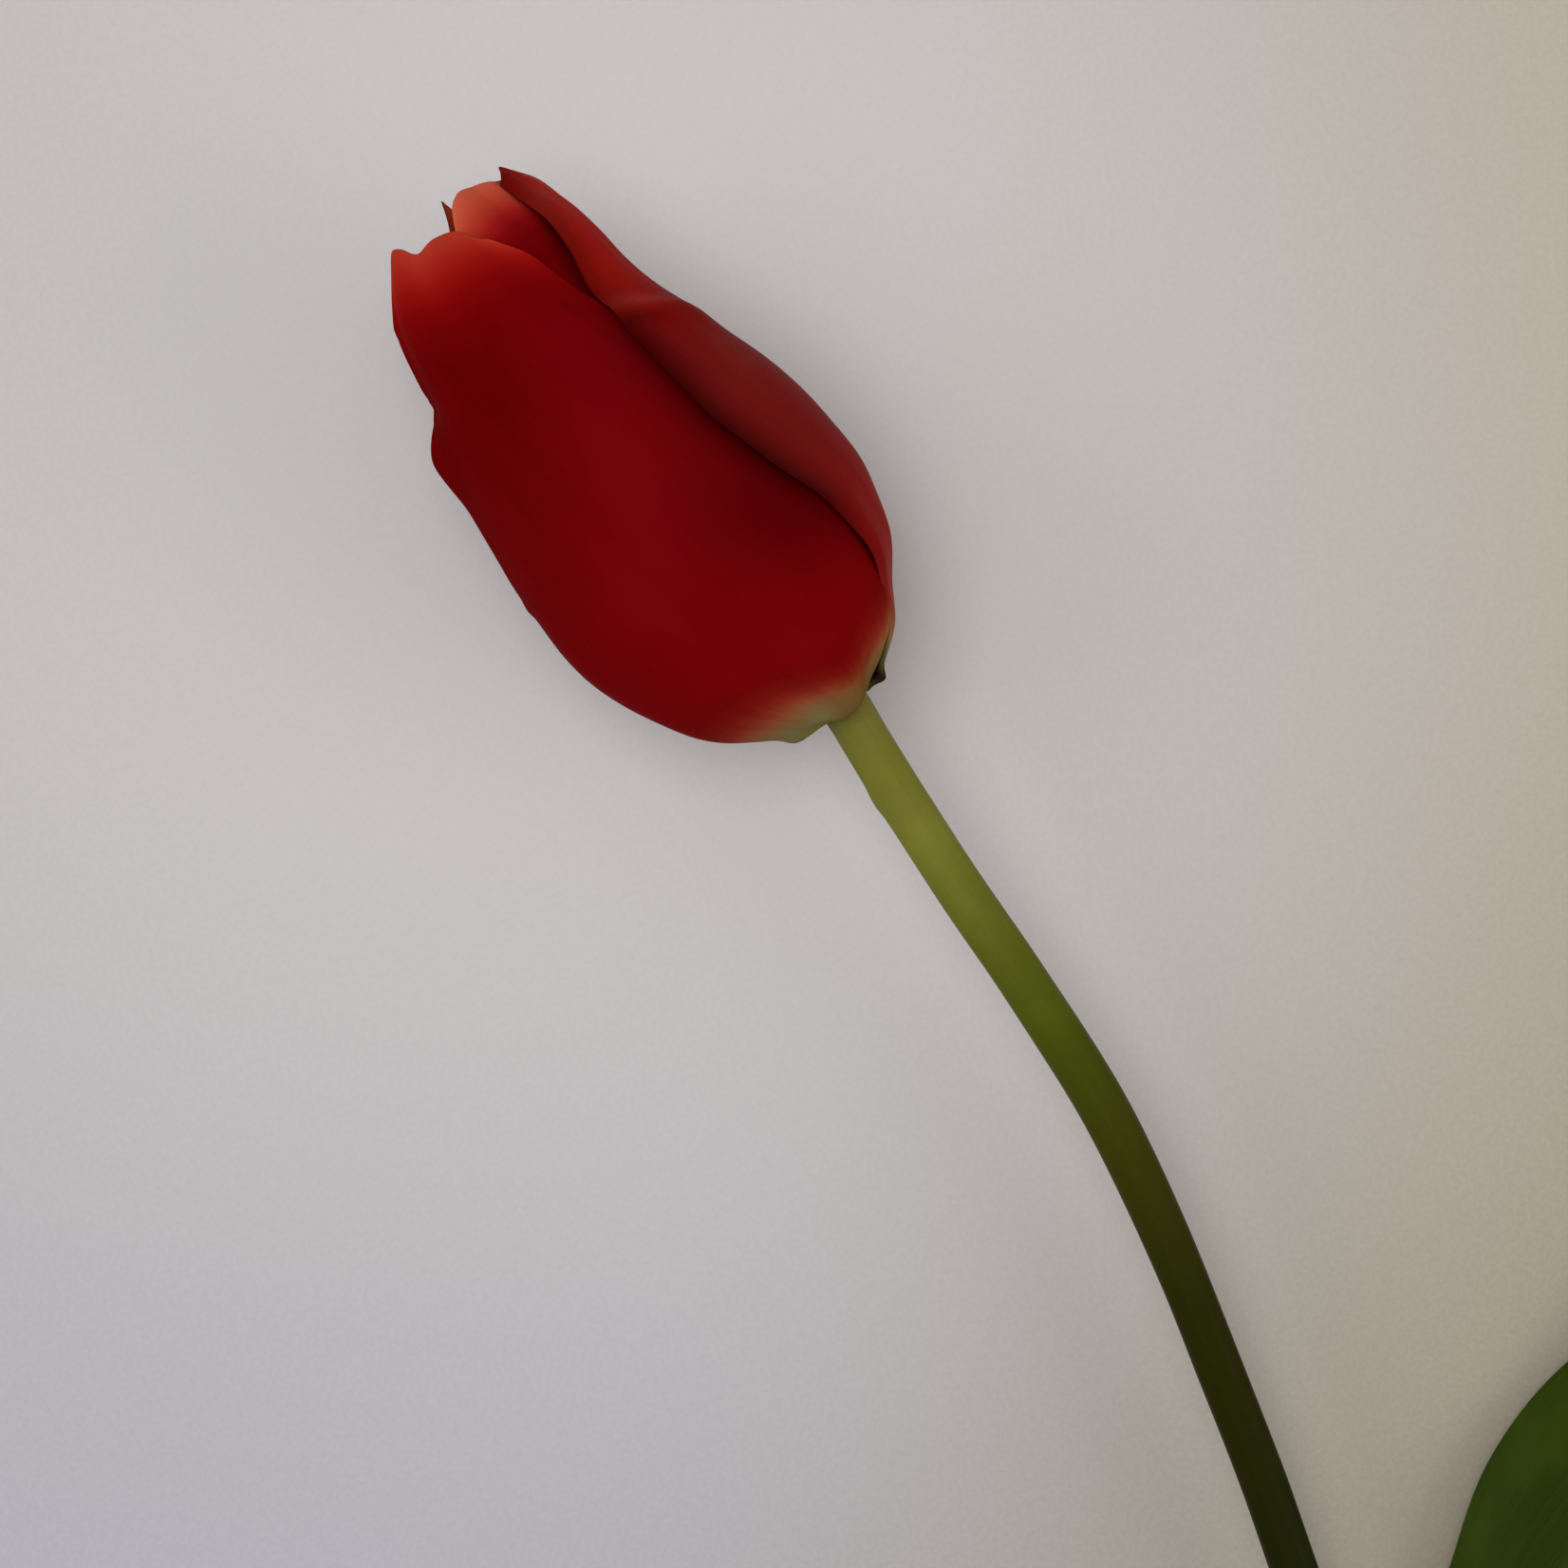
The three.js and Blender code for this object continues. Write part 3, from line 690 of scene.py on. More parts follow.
# %% Finish the cut end
CUT_RINGS = [(0.35, 0), (1.1, -0.12), (0.9, -0.2)]

caps = [face for face in tube.faces if len(face.verts) > 4]
cut_cap = min(caps, key=lambda face: face.calc_center_median().y)
for thickness, depth in CUT_RINGS:
    bmesh.ops.inset_individual(tube, faces=[cut_cap], thickness=thickness * MM, depth=depth * MM)
    cut_cap.material_index = 1
bmesh.ops.poke(tube, faces=[cut_cap], offset=0)
print("faces of pith:", sum(face.material_index for face in tube.faces))
stem = make_object("flower_stem", tube)
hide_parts("stem")
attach(stem, "root")
print("the stem has", len(stem.data.polygons), "faces")

# %% [markdown]
# ## The leaves
# A tulip leaf is a long waved blade that wraps the stem at its foot and opens into a wide channel. A
# cloth that drops on the surface would lie too flat, so the blade is a grid again. Each row is an arc
# across the leaf's line, tight round the stem at first and nearly flat further out.

# %% Measure the leaves
LEAVES = {
    "leaf_right": {
        "foot": (182, -30, 14),
        "spine": [
            (9, -156, 3.2), (24, -146.5, 1.3), (44, -137, 1.2), (68, -130.5, 2.6), (92, -126, 3.4),
            (115.8, -119, 0.8),
        ],
        "widths": [
            (0, 5.4), (0.08, 5.8), (0.16, 6.8), (0.24, 8.8), (0.32, 12), (0.42, 16.6), (0.54, 18),
            (0.7, 14.8), (0.84, 9), (0.94, 4), (1, 0.8),
        ],
        "wave": (1.5, 46, 0.4),
        "seed": 11,
    },
    "leaf_left": {
        "foot": (214, 210, 14),
        "spine": [
            (-17, -186, 2.6), (-32, -176, 1.3), (-52, -163, 1.2), (-74, -148, 2.8), (-93, -131, 3.4),
            (-109, -111, 0.8),
        ],
        "widths": [
            (0, 5.6), (0.08, 6.6), (0.16, 11), (0.26, 16.5), (0.4, 19.8), (0.55, 19), (0.7, 15.2),
            (0.84, 9.4), (0.94, 4.2), (1, 0.8),
        ],
        "wave": (1.6, 52, 2.2),
        "seed": 12,
    },
}
LEAF_CHANNEL = [(0, 3.6), (0.06, 3.9), (0.14, 7), (0.24, 16), (0.4, 34), (0.7, 44), (1, 30)]
print(len(LEAVES), "leaves measured")

# %% Draw a leaf's middle line
FOOT_GAP = 0.4


def leaf_line(leaf):
    """The leaf's middle line, its length and the way from its foot to the stem."""
    down, turned, length = leaf["foot"]
    turn = math.radians(turned)
    hold = CUT_END_RADIUS + FOOT_GAP
    foot = [tuple(beside_stem(down - share * length, hold, turn)) for share in (0, 0.5, 1)]
    rows = line_rows(foot + leaf["spine"])
    to_stem = (beside_stem(down, 0, turn) - Vector(foot[0])).normalized()
    return line_curve(rows), rows[-1][0], to_stem


print("the right leaf's line is", round(leaf_line(LEAVES["leaf_right"])[1]), "mm long")

# %% Cut and bend a leaf
LEAF_COLUMNS = 36
LEAF_ROWS = 120
UNDER_FACE = 0.6
RIDGE_COUNT = 13
RIDGE_HEIGHT = 0.05
KEEL_HEIGHT = 0.175
LEAF_SWELL = 0.25
LEAF_ABOVE_SURFACE = 0.03


def leaf_sheet(leaf):
    """A leaf's under face as a bent grid, with its flat map."""
    sheet = bmesh.new()
    bmesh.ops.create_grid(sheet, x_segments=LEAF_COLUMNS, y_segments=LEAF_ROWS, size=1)
    flat_map = sheet.loops.layers.uv.new("leaf")
    middle, reach, to_stem = leaf_line(leaf)
    width, channel = table_curve(leaf["widths"]), table_curve(LEAF_CHANNEL)
    wave_height, wave_length, phase = leaf["wave"]
    places = {}
    for vert in sheet.verts:
        u = closer_to_margin(vert.co.x)
        s = (vert.co.y + 1) / 2
        places[vert] = ((u + 1) / 2, s)
        tangent = (middle(s * reach + 0.5) - middle(s * reach - 0.5)).normalized()
        facing = to_stem.lerp(Vector((0, 0, 1)), ease(s, 0.06, 0.3))
        facing = (facing - tangent * facing.dot(tangent)).normalized()
        across = facing.cross(tangent)
        radius = channel(s)
        bent = u * width(s) / radius
        wave = wave_height * abs(u) ** 3 * ease(s, 0.15, 0.4)
        ripple = wave * math.sin(2 * math.pi * s * reach / wave_length + phase + 1.3 * u)
        ridges = RIDGE_HEIGHT * math.cos(math.pi * RIDGE_COUNT * u) * ease(s, 0.1, 0.3)
        keel = hump(u, KEEL_HEIGHT, 0, 0.05) * ease(s, 0.1, 0.25) * (1 - ease(s, 0.8, 1))
        swell = LEAF_SWELL * noise.noise(Vector((u * 2.5, s * 9, leaf["seed"]))) * ease(s, 0.2, 0.4)
        out = radius + UNDER_FACE + ridges * (1 - ease(s, 0.9, 1)) + keel
        point = middle(s * reach) + across * (out * math.sin(bent))
        point += facing * (radius - out * math.cos(bent) + ripple + swell)
        point.z = max(point.z, LEAF_ABOVE_SURFACE)
        vert.co = in_frame(point)
    keep_flat_map(sheet, flat_map, places)
    return sheet


print("a leaf's sheet has", LEAF_COLUMNS * LEAF_ROWS, "faces")

# %% Make the two leaves
LEAF_WALL = 0.6
LEAF_THIN_PART = 0.2

leaf_objects = {}
for name, leaf in LEAVES.items():
    piece = thicken(name + "_blade", leaf_sheet(leaf), "leaf", LEAF_WALL, LEAF_THIN_PART)
    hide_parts(name)
    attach(piece, "root")
    leaf_objects[name] = piece
    print(piece.name, len(piece.data.polygons), "faces before smoothing")

# %% [markdown]
# ## Writing paint as sums
# A material is a graph of nodes. It could be drawn in the Shader Editor, but sums of masks are easier to
# read as Python. So a small class wraps a node's output and turns +, -, *, / and ** into Math nodes.
# Another class owns a material and adds any other node.

# %% Wrap a node's output


class Wire:
    """A node's output. Arithmetic on it adds Math nodes."""

    def __init__(self, paint, socket):
        self.paint = paint
        self.socket = socket

    def math(self, operation, *values):
        return self.paint.node("ShaderNodeMath", {"operation": operation}, dict(enumerate(values)))

    def __add__(self, other):
        return self.math("ADD", self, other)

    def __sub__(self, other):
        return self.math("SUBTRACT", self, other)

    def __rsub__(self, other):
        return self.math("SUBTRACT", other, self)

    def __mul__(self, other):
        return self.math("MULTIPLY", self, other)

    def __truediv__(self, other):
        return self.math("DIVIDE", self, other)

    def __pow__(self, other):
        return self.math("POWER", self, other)

    def over(self, low, high):
        """0 below low and 1 above high, smooth between them."""
        sockets = {"Value": self, "From Min": low, "From Max": high}
        return self.paint.node("ShaderNodeMapRange", {"interpolation_type": "SMOOTHSTEP"}, sockets)

    def near(self, at, spread):
        """1 at a value, and falling off to both sides."""
        return self.math("EXPONENT", ((self - at) / spread) ** 2 * -1)


print("a wire also knows:", ", ".join(word for word in vars(Wire) if not word.startswith("_")))

# %% Own a material


class Paint:
    """One material, with its Principled shader."""

    def __init__(self, name, roughness, specular):
        self.material = bpy.data.materials.new(name)
        self.material.use_nodes = True
        self.tree = self.material.node_tree
        self.shader = self.tree.nodes["Principled BSDF"]
        self.shader.inputs["Roughness"].default_value = roughness
        self.shader.inputs["Specular IOR Level"].default_value = specular

    def feed(self, socket, value):
        if isinstance(value, Wire):
            self.tree.links.new(value.socket, socket)
        else:
            socket.default_value = value

    def node(self, kind, settings, sockets, output=0):
        """Adds a node, with its settings first."""
        node = self.tree.nodes.new(kind)
        for name, value in settings.items():
            setattr(node, name, value)
        for name, value in sockets.items():
            self.feed(node.inputs[name], value)
        return Wire(self, node.outputs[output])

    def mix(self, share, first, second):
        settings = {"data_type": "RGBA"}
        return self.node("ShaderNodeMix", settings, {0: share, 6: first, 7: second}, output=2)

    def vector(self, operation, first, second, output=0):
        """Vector Math. A distance or a dot product is its output 1."""
        settings = {"operation": operation}
        return self.node("ShaderNodeVectorMath", settings, {0: first, 1: second}, output)

    def space(self):
        """The object's own space, in metres."""
        return self.node("ShaderNodeTexCoord", {}, {}, output=3)

    def flat_place(self, label):
        """A piece's flat map, and the places across and along it."""
        flat = self.node("ShaderNodeUVMap", {"uv_map": label}, {})
        across = self.node("ShaderNodeSeparateXYZ", {}, {"Vector": flat})
        return flat, across, Wire(self, across.socket.node.outputs[1])

    def fibres(self, flat, scale, detail, roughness=0.5):
        """Noise stretched along a piece."""
        return self.noise(self.vector("MULTIPLY", flat, scale), 1.0, detail, roughness)

    def noise(self, vector, scale, detail, roughness=0.5):
        sockets = {"Vector": vector, "Scale": scale, "Detail": detail, "Roughness": roughness}
        return self.node("ShaderNodeTexNoise", {}, sockets)

    def bump(self, height, distance, strength, normal=None):
        sockets = {"Height": height, "Distance": distance, "Strength": strength}
        if normal is not None:
            sockets["Normal"] = normal
        return self.node("ShaderNodeBump", {}, sockets)

    def finish(self, tone, normal, roughness=None):
        """Feeds the shader and hands over the material."""
        self.feed(self.shader.inputs["Base Color"], tone)
        self.feed(self.shader.inputs["Normal"], normal)
        if roughness is not None:
            self.feed(self.shader.inputs["Roughness"], roughness)
        return self.material


print("a paint knows:", ", ".join(word for word in vars(Paint) if not word.startswith("_")))

# %% Write colours


def colour(code):
    """A colour written as on a web page, as the light that Blender counts in."""
    values = [int(code[i:i + 2], 16) / 255 for i in (1, 3, 5)]
    return tuple(v / 12.92 if v <= 0.04045 else ((v + 0.055) / 1.055) ** 2.4 for v in values) + (1,)


def along_ramp(paint, share, tones):
    """A ramp's colour for a share of the way along a piece."""
    ramped = paint.node("ShaderNodeValToRGB", {}, {"Fac": share})
    elements = ramped.socket.node.color_ramp.elements
    while len(elements) < len(tones):
        elements.new(1)
    for element, (position, code) in zip(elements, tones):
        element.position = position
        element.color = colour(code)
    return ramped


print("crimson as light:", tuple(round(part, 3) for part in colour("#8c0a12")))

# %% [markdown]
# ## The petals' finish
# A petal is nearly matt, with a faint silky sheen. From root to tip it goes from grey green through tan
# to crimson, and burns orange at the top, where light comes through the thin sheet. Transmission would
# need every petal's true thickness, so a ramp along the petal's flat map holds those tones instead.

# %% List the petals' tones
PETAL_ROOT = [
    (0.0, "#716b39"), (0.02, "#77713f"), (0.04, "#7c764c"), (0.065, "#8a6e44"), (0.09, "#965c3b"),
    (0.11, "#96402b"), (0.13, "#8c281b"), (0.15, "#801610"), (0.18, "#78080a"), (0.22, "#74040a"),
]
FRONT_TONES = PETAL_ROOT[:-1] + [
    (0.22, "#7c050a"), (0.32, "#770409"), (0.44, "#700407"), (0.62, "#690305"), (0.74, "#640103"),
    (0.82, "#680103"), (0.86, "#700305"), (0.9, "#800606"), (0.935, "#96120e"), (0.965, "#a82419"),
    (1.0, "#b43b29"),
]
# The right petal's lower tones are lighter than the front petal's: painted light on its side that turns
# away from the lamps.
RIGHT_TONES = PETAL_ROOT[:5] + [
    (0.11, "#94503a"), (0.14, "#963226"), (0.17, "#8c1e18"), (0.22, "#86110e"), (0.32, "#80110f"),
    (0.42, "#761513"), (0.55, "#761714"), (0.68, "#790b09"), (0.72, "#8e120b"), (0.85, "#9c180f"),
    (0.93, "#a2281e"), (0.97, "#981811"), (1.0, "#86150f"),
]
INNER_TONES = PETAL_ROOT + [
    (0.84, "#6c0205"), (0.88, "#76040a"), (0.905, "#880b10"), (0.925, "#a01b19"), (0.945, "#b43527"),
    (0.97, "#c44d36"), (1.0, "#ce624a"),
]
SPIKE_TONES = PETAL_ROOT + [
    (0.8, "#6c0206"), (0.9, "#7c1510"), (0.95, "#8a241c"), (0.975, "#4a0c0c"), (1.0, "#14020a"),
]
# The back petal's tones are painted shade: darker than the front petal's, with only a faint lighter top.
SHADED_BACK_TONES = PETAL_ROOT + [(0.42, "#6e0408"), (0.85, "#5c0206"), (0.94, "#64060a"), (1.0, "#8a1c14")]
LINING_TONES = [
    (0.0, "#a8a468"), (0.08, "#b09c58"), (0.16, "#b84c34"), (0.3, "#b02420"), (0.85, "#b4281e"),
    (1.0, "#c44a34"),
]
print("tones along the front petal:", len(FRONT_TONES))

# %% [markdown]
# The root's tan doesn't end in a straight line: it climbs in the middle and at one side. A few marks lie
# on top of it: a brown rim and a pleat at the root, the pleat partly its own brown and partly painted
# shade, and on the crease a painted highlight along its ridge and painted shade in the hollow under it.
# They could be painted on an image, but masks of s and u stay sharp at any size.

# %% Mark a petal
DEEP_RED = "#3c0104"
RIM, PLEAT, SHEEN_BAND_TONE, SHEEN_PATCH_TONE = "#663e18", "#6a2a10", "#880c18", "#7a3a2e"
RIDGE_HIGHLIGHT, HOLLOW_SHADE = "#a82a1e", "#4c0203"
CREASE_PLACE, HOLLOW_PLACE = (0.744, 0.015), (0.71, 0.014)


def pushed_along(s, u, edge_shade):
    """The way along a petal, pushed on or back where the tan reaches far, and back near the top of the
    left margin for painted shade there.
    """
    near_root = 1 - s.over(0.1, 0.3)
    middle = u.near(0.36, 0.24) * s.over(0.03, 0.07) * 0.062
    flushed = (middle - u.over(0.76, 1.0) * 0.045) * near_root - u.near(-0.7, 0.5) * near_root * 0.014
    # Painted shade: the top of the left margin keeps the darker red of lower down.
    return s + flushed - (u * -1).over(0.7, 1.0) * s.over(0.7, 0.9) * edge_shade


def root_marks(paint, tone, s, u):
    """The brown rim and the pleat at a petal's root; the pleat is partly its own brown and partly painted
    shade.
    """
    tone = paint.mix((1 - s.over(0.03, 0.1)) * u.over(-0.2, 0.15) * 0.7, tone, colour(RIM))
    # The pleat's brown line is partly its own colour and partly painted shade along the tongue's edge.
    pleat = (u - 0.28 - s * 3.4).near(0.0, 0.06) * s.over(0.02, 0.06) * (1 - s.over(0.08, 0.14))
    return paint.mix(pleat * 0.45, tone, colour(PLEAT))


def crease_marks(paint, tone, s, u):
    """A painted highlight on the ridge of the right petal's crease and painted shade in the hollow under
    it.
    """
    from_crease = s + (u + 1) * 0.1
    # Painted highlight where the crease's ridge faces the light.
    ridge = from_crease.near(*CREASE_PLACE) * (u * -1).over(0.2, 0.8)
    tone = paint.mix(ridge * 0.65, tone, colour(RIDGE_HIGHLIGHT))
    # Painted shade in the hollow under the crease.
    hollow = from_crease.near(*HOLLOW_PLACE) * (u * -1).over(0.5, 0.95)
    return paint.mix(hollow * 0.5, tone, colour(HOLLOW_SHADE))


print("the crease's ridge crosses at", CREASE_PLACE[0], "of the margin's length")

# %% [markdown]
# Noise stretched along the petal breaks its tones into fine veins, and rounder noise into blotches. A
# cooler, lighter band of painted sheen shows where the petal turns from the light, and the fold's painted
# shade comes last. The same veins lift the skin a little, with tiny cells on top.

# %% Paint a petal
SHEEN = (1, 0.45, 0.4, 1)
BLOTCH = "#8a0c16"
PAINTED_FOLD_SHADE = "#160001"


def petal_paint(
    name, tones, gloss=0.5, specular=0.006, sheen_patch_share=0.0, edge_shade=0.0, creased=False, shaded=0.0
):
    paint = Paint(name, gloss, specular)
    paint.shader.inputs["Specular Tint"].default_value = SHEEN
    flat, across, s = paint.flat_place("petal")
    u = across * 2 - 1
    coarse = paint.fibres(flat, (34, 2.2, 1), 3.0)
    fine = paint.fibres(flat, (120, 5, 1), 3.0, 0.6)
    blotches = paint.fibres(flat, (5, 4, 1), 3.0)
    cells = paint.fibres(flat, (320, 420, 1), 1.0)

    share = pushed_along(s, u, edge_shade) + (coarse - 0.5) * 0.014 + (blotches - 0.5) * 0.02
    tone = along_ramp(paint, share, tones)
    tone = paint.mix((coarse - 0.42) * 0.5, tone, paint.mix(0.6, tone, colour(DEEP_RED)))
    tone = paint.mix((blotches - 0.45) * 1.2, tone, paint.mix(0.5, tone, colour(BLOTCH)))
    tone = root_marks(paint, tone, s, u)
    # Painted sheen: a cooler, lighter band down the petal.
    cool = (u - 0.25 + (0.5 - s) * 1.5).near(0.0, 0.32) * s.over(0.25, 0.45) * (1 - s.over(0.76, 0.9))
    tone = paint.mix(cool * 0.32, tone, colour(SHEEN_BAND_TONE))
    # Painted shade: a darker patch on the front petal's right side, about a third of the way up.
    if shaded:
        hollow = (u - 0.66 + (s - 0.4) * 0.6).near(0.0, 0.4) * s.near(0.375, 0.12) * shaded
        tone = paint.mix(hollow, tone, colour(DEEP_RED))
    # Painted sheen: greyish brown patches where the right petal catches light from the right.
    if sheen_patch_share:
        sheen_patches = blotches.over(0.5, 0.72) * s.near(0.5, 0.2) * sheen_patch_share
        tone = paint.mix(sheen_patches, tone, colour(SHEEN_PATCH_TONE))
    if creased:
        tone = crease_marks(paint, tone, s, u)
    # Painted shade: each vertex's fold weight mixes the tone towards near black.
    fold = paint.node("ShaderNodeAttribute", {"attribute_name": "fold"}, {}, output=2)
    tone = paint.mix(fold, tone, colour(PAINTED_FOLD_SHADE))
    veins = paint.bump(coarse * 0.6 + fine * 0.4, 0.07 * MM, 0.6)
    return paint.finish(tone, paint.bump(cells, 0.015 * MM, 0.5, veins), (fine - 0.5) * 0.2 + gloss)


outer_face = petal_paint("petal outer face", FRONT_TONES, specular=0.0015, edge_shade=0.1, shaded=0.5)
right_face = petal_paint("right petal outer face", RIGHT_TONES, 0.46, 0.012, 0.45, creased=True)
inner_face = petal_paint("inner petal outer face", INNER_TONES)
back_face = petal_paint("back petal outer face", SHADED_BACK_TONES)
spike_face = petal_paint("inner back petal outer face", SPIKE_TONES)
lining = petal_paint("petal inner face", LINING_TONES, 0.42, 0.06)
OUTSIDES = {
    "outer_petal_right": right_face, "outer_petal_back": back_face, "inner_petal_back": spike_face,
}
for name, piece in petal_objects.items():
    usual = inner_face if PETALS[name]["inner"] else outer_face
    piece.data.materials.append(OUTSIDES.get(name, usual))
    piece.data.materials.append(lining)
print("petals painted:", len(petal_objects))

# %% [markdown]
# ## The stem's and the leaves' finish
# The stem is yellow green under the bloom and grows darker lower down, its own colour near the bloom
# and mostly painted shade further down, with fine lines along it and a thin coat of wax. The leaves are
# deeper green, with close parallel veins and the same wax. One plain colour would look like plastic, so
# ramps and stretched noise do it again.

# %% Paint the stem
# The yellow green under the bloom is the stem's own colour; the near black olive lower down is mostly
# painted shade, with a lighter tone again towards the cut.
STEM_TONES_AND_SHADE = [
    (0.0, "#78733b"), (0.045, "#77752c"), (0.09, "#78782e"), (0.15, "#60661d"), (0.215, "#464f0a"),
    (0.28, "#3a3b06"), (0.36, "#282a01"), (0.43, "#242501"), (0.5, "#1e2202"), (0.8, "#2c350c"),
    (1.0, "#4a5420"),
]
STEM_DARKER = (0.6, 0.62, 0.5)
STEM_LIGHTER = (1.3, 1.3, 1.2)

paint = Paint("stem skin", 0.45, 0.035)
flat, _, down = paint.flat_place("stem")
lines = paint.fibres(flat, (60, 4, 1), 3.0, 0.6)
mottle = paint.noise(paint.space(), 120.0, 3.0).over(0.45, 0.75)
tone = along_ramp(paint, down * (STEM_MAP_LENGTH / STEM_REACH), STEM_TONES_AND_SHADE)
darker, lighter = (paint.vector("MULTIPLY", tone, part) for part in (STEM_DARKER, STEM_LIGHTER))
tone = paint.mix(mottle * 0.35, paint.mix((lines - 0.4) * 0.7, tone, darker), lighter)
stem.data.materials.append(paint.finish(tone, paint.bump(lines, 0.05 * MM, 0.6), lines * 0.2 + 0.36))
print("the stem's tones:", len(STEM_TONES_AND_SHADE))

# %% Paint the cut end's pith
paint = Paint("cut pith", 0.3, 0.5)
spots = paint.noise(paint.space(), 3600.0, 3.0)
tone = paint.mix(spots.over(0.4, 0.75), colour("#a9b16a"), colour("#7f8a42"))
paint.feed(paint.shader.inputs["Base Color"], tone)
stem.data.materials.append(paint.material)
print("the stem's materials:", len(stem.data.materials))

# %% Paint the leaves


def leaf_paint(name, body, light):
    """A leaf's face: blotched and veined in two greens, and paler at the foot."""
    paint = Paint(name, 0.45, 0.05)
    flat, _, s = paint.flat_place("leaf")
    veins = paint.fibres(flat, (90, 1.2, 1), 2.0)
    blotches = paint.fibres(flat, (4, 9, 1), 3.0)
    tone = paint.mix(blotches.over(0.35, 0.7), body, light)
    tone = paint.mix(veins.over(0.5, 0.68) * 0.5, tone, light)
    tone = paint.mix(1 - s.over(0.0, 0.3), tone, colour("#56642a"))
    return paint.finish(tone, paint.bump(veins, 0.1 * MM, 0.8), veins * 0.2 + 0.36)


leaf_under = leaf_paint("leaf under face", colour("#33420c"), colour("#46561c"))
leaf_upper = leaf_paint("leaf upper face", colour("#273603"), colour("#304107"))
for piece in leaf_objects.values():
    piece.data.materials.append(leaf_under)
    piece.data.materials.append(leaf_upper)
print("leaves painted:", len(leaf_objects))

# %% [markdown]
# ## The middle of the bloom
# The ovary and the stamens are sealed inside the closed petals. They could be redrawn too, but their
# solids have the form already. So they only get a finish: pale green flesh for the ovary and dusty violet
# brown for the anthers, broken up by noise in the solid's own space.

# %% Paint the pistil and the stamens
MIDDLE = {
    "pistil": ("ovary flesh", "#8f9a4e", "#b3b56c", 0.4, 700),
    "stamens": ("anther dust", "#2c1a26", "#4a3838", 0.85, 2400),
}
for name, (label, dark_tone, light_tone, roughness, scale) in MIDDLE.items():
    paint = Paint(label, roughness, 0.2)
    grain = paint.noise(paint.space(), scale, 3.0)
    tone = paint.mix(grain.over(0.35, 0.65), colour(dark_tone), colour(light_tone))
    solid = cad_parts[name]
    solid.data.materials.clear()
    solid.data.materials.append(paint.finish(tone, paint.bump(grain, 0.1 * MM, 0.6)))
print("solids painted:", len(MIDDLE))

# %% [markdown]
# ## The surface and the camera
# The flower lies on a plain pale surface that fills the view from any side, and the camera looks straight
# down from about 0.6 m. It could be aimed by eye, but with its turn and the pixel of the bloom's foot
# measured, the flower lies in the picture as in the photograph.

# %% Lay the surface
SURFACE_REACH = 3
SURFACE_BELOW = 0.1

floor_maker = bmesh.new()
bmesh.ops.create_grid(floor_maker, x_segments=1, y_segments=1, size=SURFACE_REACH)
bmesh.ops.translate(floor_maker, verts=floor_maker.verts, vec=(0, 0, -SURFACE_BELOW * MM))
floor = make_object("pale_surface", floor_maker)
print("the surface lies at", round(floor.data.vertices[0].co.z / MM, 2), "mm")

# %% Set the camera
PICTURE = 1652
FOCUS = 5000
SENSOR = 36
CAMERA_HEIGHT = 622
CAMERA_ROLL = 26.48
FOOT_PIXEL = (893, 748)

roll = math.radians(CAMERA_ROLL)
picture_right = Vector((math.cos(roll), -math.sin(roll), 0))
picture_up = Vector((math.sin(roll), math.cos(roll), 0))
per_pixel = (CAMERA_HEIGHT - NECK_HEIGHT) / FOCUS
beside = picture_right * (PICTURE / 2 - FOOT_PIXEL[0]) + picture_up * (FOOT_PIXEL[1] - PICTURE / 2)
camera_data = bpy.data.cameras.new("camera")
camera_data.sensor_width = SENSOR
camera_data.lens = SENSOR * FOCUS / PICTURE
camera = put_in_scene("camera", camera_data)
camera.location = in_frame(beside * per_pixel + Vector((0, 0, CAMERA_HEIGHT)))
camera.rotation_euler = (0, 0, -roll)
bpy.context.scene.camera = camera
print("the camera is at", tuple(round(value, 4) for value in camera.location))

# %% [markdown]
# ## The surface's paint
# The surface is matt and nearly even, with painted light and shade on it: a cool painted light at the
# lower left, warmer painted light and darker painted shade to the right, and a painted pool of light
# round the bloom. Coloured lamps would tint the flower too, so the paint follows the picture's
# directions, with a faint grain, and fades to one tone outside the picture.

# %% Paint the surface
SURFACE_TONE = "#c3bfc0"
BLOOM_IN_PICTURE = (-0.02, 0.043)

paint = Paint("pale surface", 0.8, 0.1)
space = paint.space()
middle = Vector((camera.location.x, camera.location.y, 0))
bloom_middle = middle + picture_right * BLOOM_IN_PICTURE[0] + picture_up * BLOOM_IN_PICTURE[1]
from_middle = paint.vector("SUBTRACT", space, middle)
rightward = paint.vector("DOT_PRODUCT", from_middle, picture_right, 1)
upward = paint.vector("DOT_PRODUCT", from_middle, picture_up, 1)
from_bloom = paint.vector("DISTANCE", space, bloom_middle, 1)
in_picture = 1 - paint.vector("DISTANCE", space, middle, 1).over(0.14, 0.5)
clouds = paint.noise(space, 9.0, 2.0)
grain = paint.noise(space, 1400.0, 2.0)
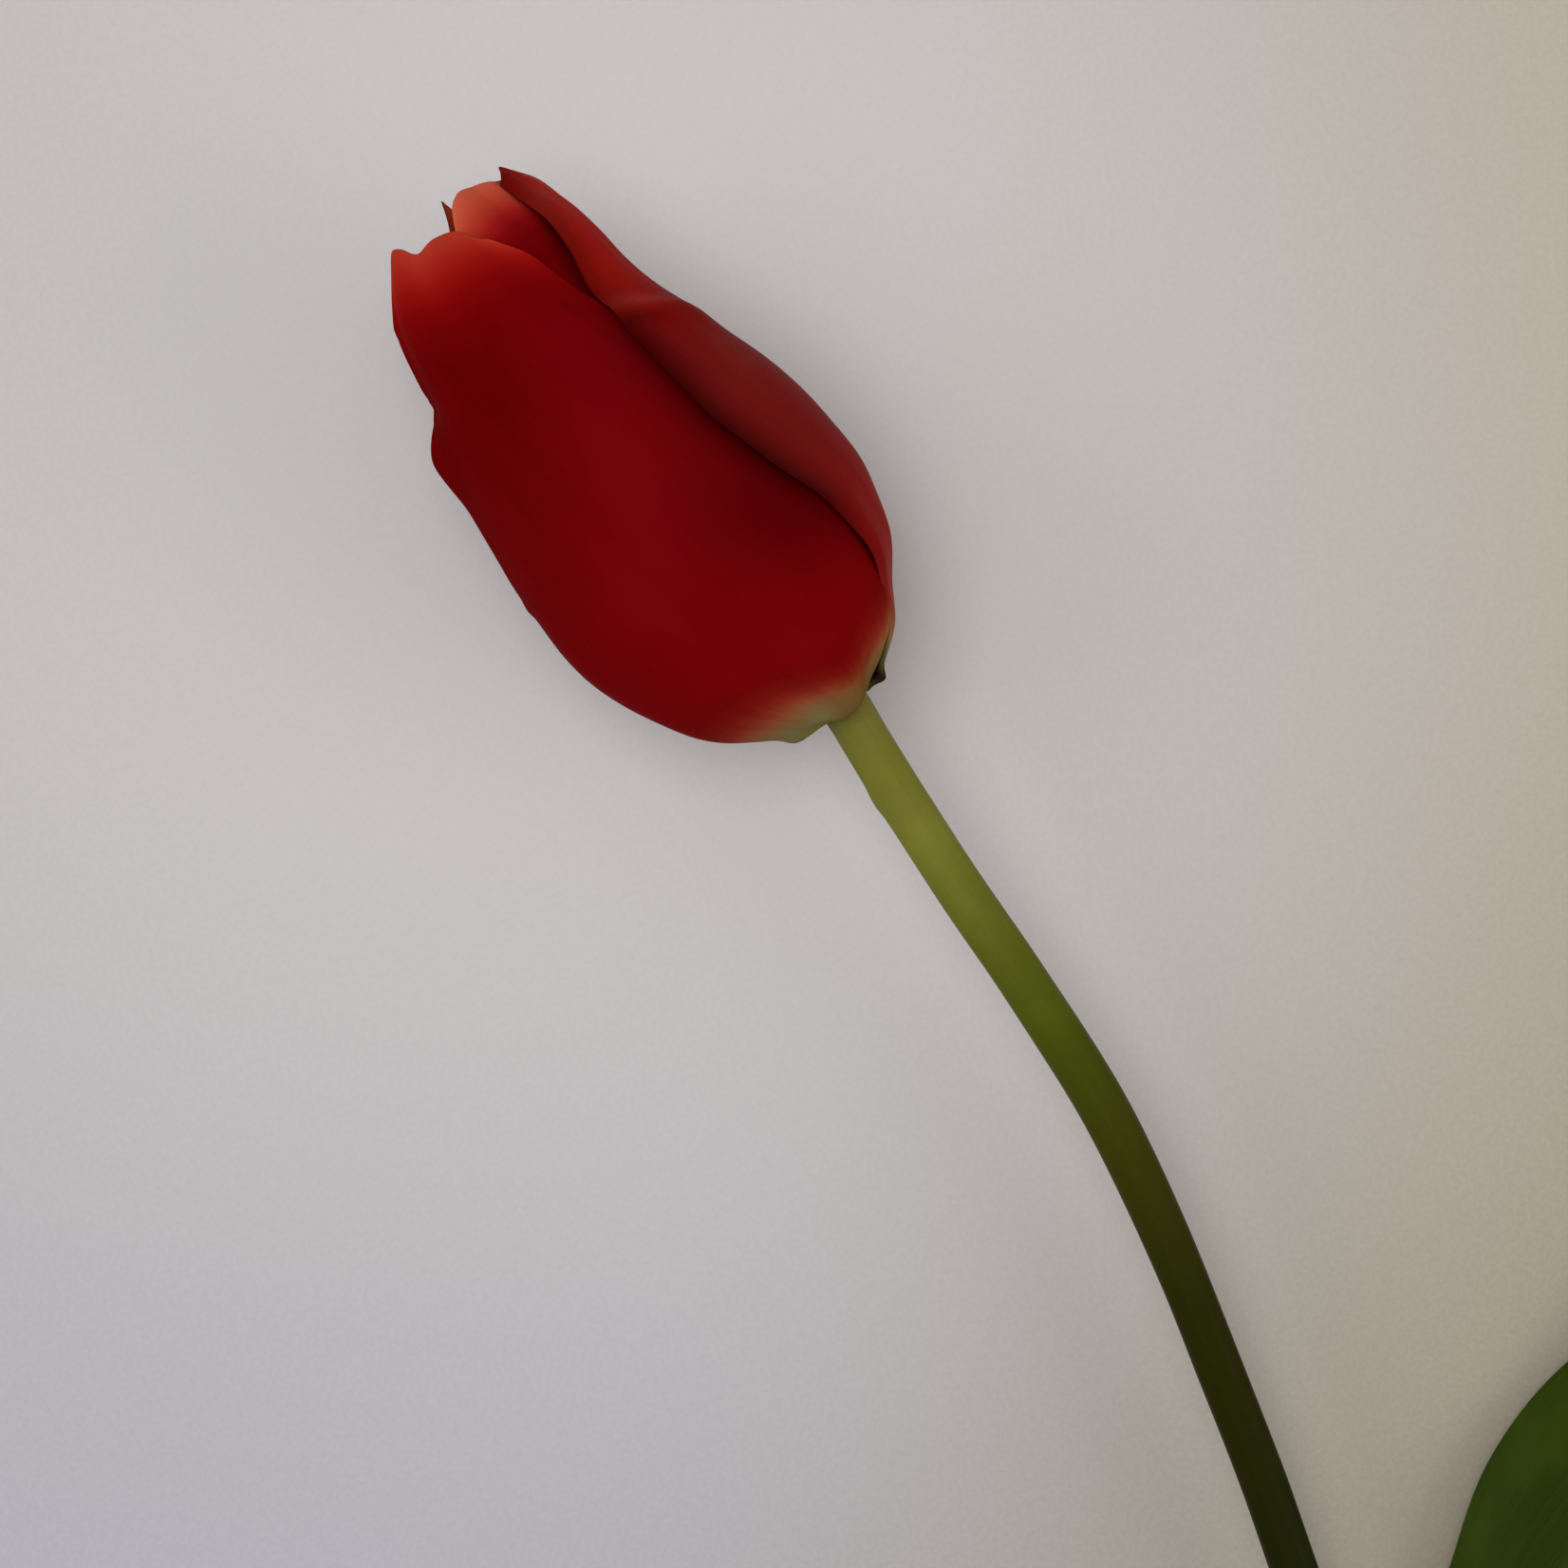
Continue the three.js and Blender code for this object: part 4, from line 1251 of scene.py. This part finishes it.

# Painted light and shade: a bluish light at the lower left, warm light and shade to the right, a shaded
# lower right corner and a pale pool of light round the bloom. Only the grain is the surface's own.
light_shade_and_grain = {
    "bluish painted light at the lower left": ((1 - upward.over(-0.12, 0.02)) * in_picture, "#babac3"),
    "warm painted light and shade on the right": ((rightward + (clouds - 0.5) * 0.04).over(-0.02, 0.12) * in_picture, "#bcb3a3"),
    "painted shade in the corner": ((rightward - upward).over(0.04, 0.22) * in_picture * 0.6, "#9d9480"),
    "painted light round the bloom": ((1 - from_bloom.over(0.0, 0.17)) * 0.72, "#e0dee0"),
    "grain": (grain.over(0.3, 0.7) * 0.05, "#ffffff"),
}
tone = colour(SURFACE_TONE)
for share, code in light_shade_and_grain.values():
    tone = paint.mix(share, tone, colour(code))
floor.data.materials.append(paint.finish(tone, paint.bump(grain, 0.02 * MM, 0.4)))
print("the surface's paint has", len(paint.tree.nodes), "nodes")

# %% [markdown]
# ## The light
# The flower was seen by soft daylight. A sun lamp would draw hard shadows, so three wide soft lamps do
# it: a window on the upper left makes the form read, and a pale wall on each side lights the edges. A
# faint even light from all round keeps the shadows open.

# %% Light the flower
# Each lamp's place to the right, up and above the middle of the picture, its size, power and tint.
LAMPS = {
    "window": (-0.25, 0.12, 1.3, 0.8, 6.2, (1, 0.98, 0.95)),
    "right wall": (1.1, -0.15, 0.55, 0.9, 4.2, (1, 0.97, 0.92)),
    "left wall": (-1.1, 0.1, 0.55, 0.9, 4, (0.97, 0.98, 1)),
}
ROOM_LIGHT = 0.38
ROOM_TINT = (1, 0.97, 0.95, 1)

for name, (right, up, height, size, watts, tint) in LAMPS.items():
    lamp = bpy.data.lights.new(name, "AREA")
    lamp.size = size
    lamp.energy = watts
    lamp.color = tint
    holder = put_in_scene(name, lamp)
    holder.location = middle + picture_right * right + picture_up * up + Vector((0, 0, height))
    holder.rotation_euler = (middle - holder.location).to_track_quat("-Z", "Y").to_euler()
world = bpy.data.worlds.new("room")
world.use_nodes = True
room = world.node_tree.nodes["Background"].inputs
room["Color"].default_value = ROOM_TINT
room["Strength"].default_value = ROOM_LIGHT
bpy.context.scene.world = world
bpy.context.scene.view_settings.view_transform = "Standard"
print("lamps:", ", ".join(LAMPS))

# %% [markdown]
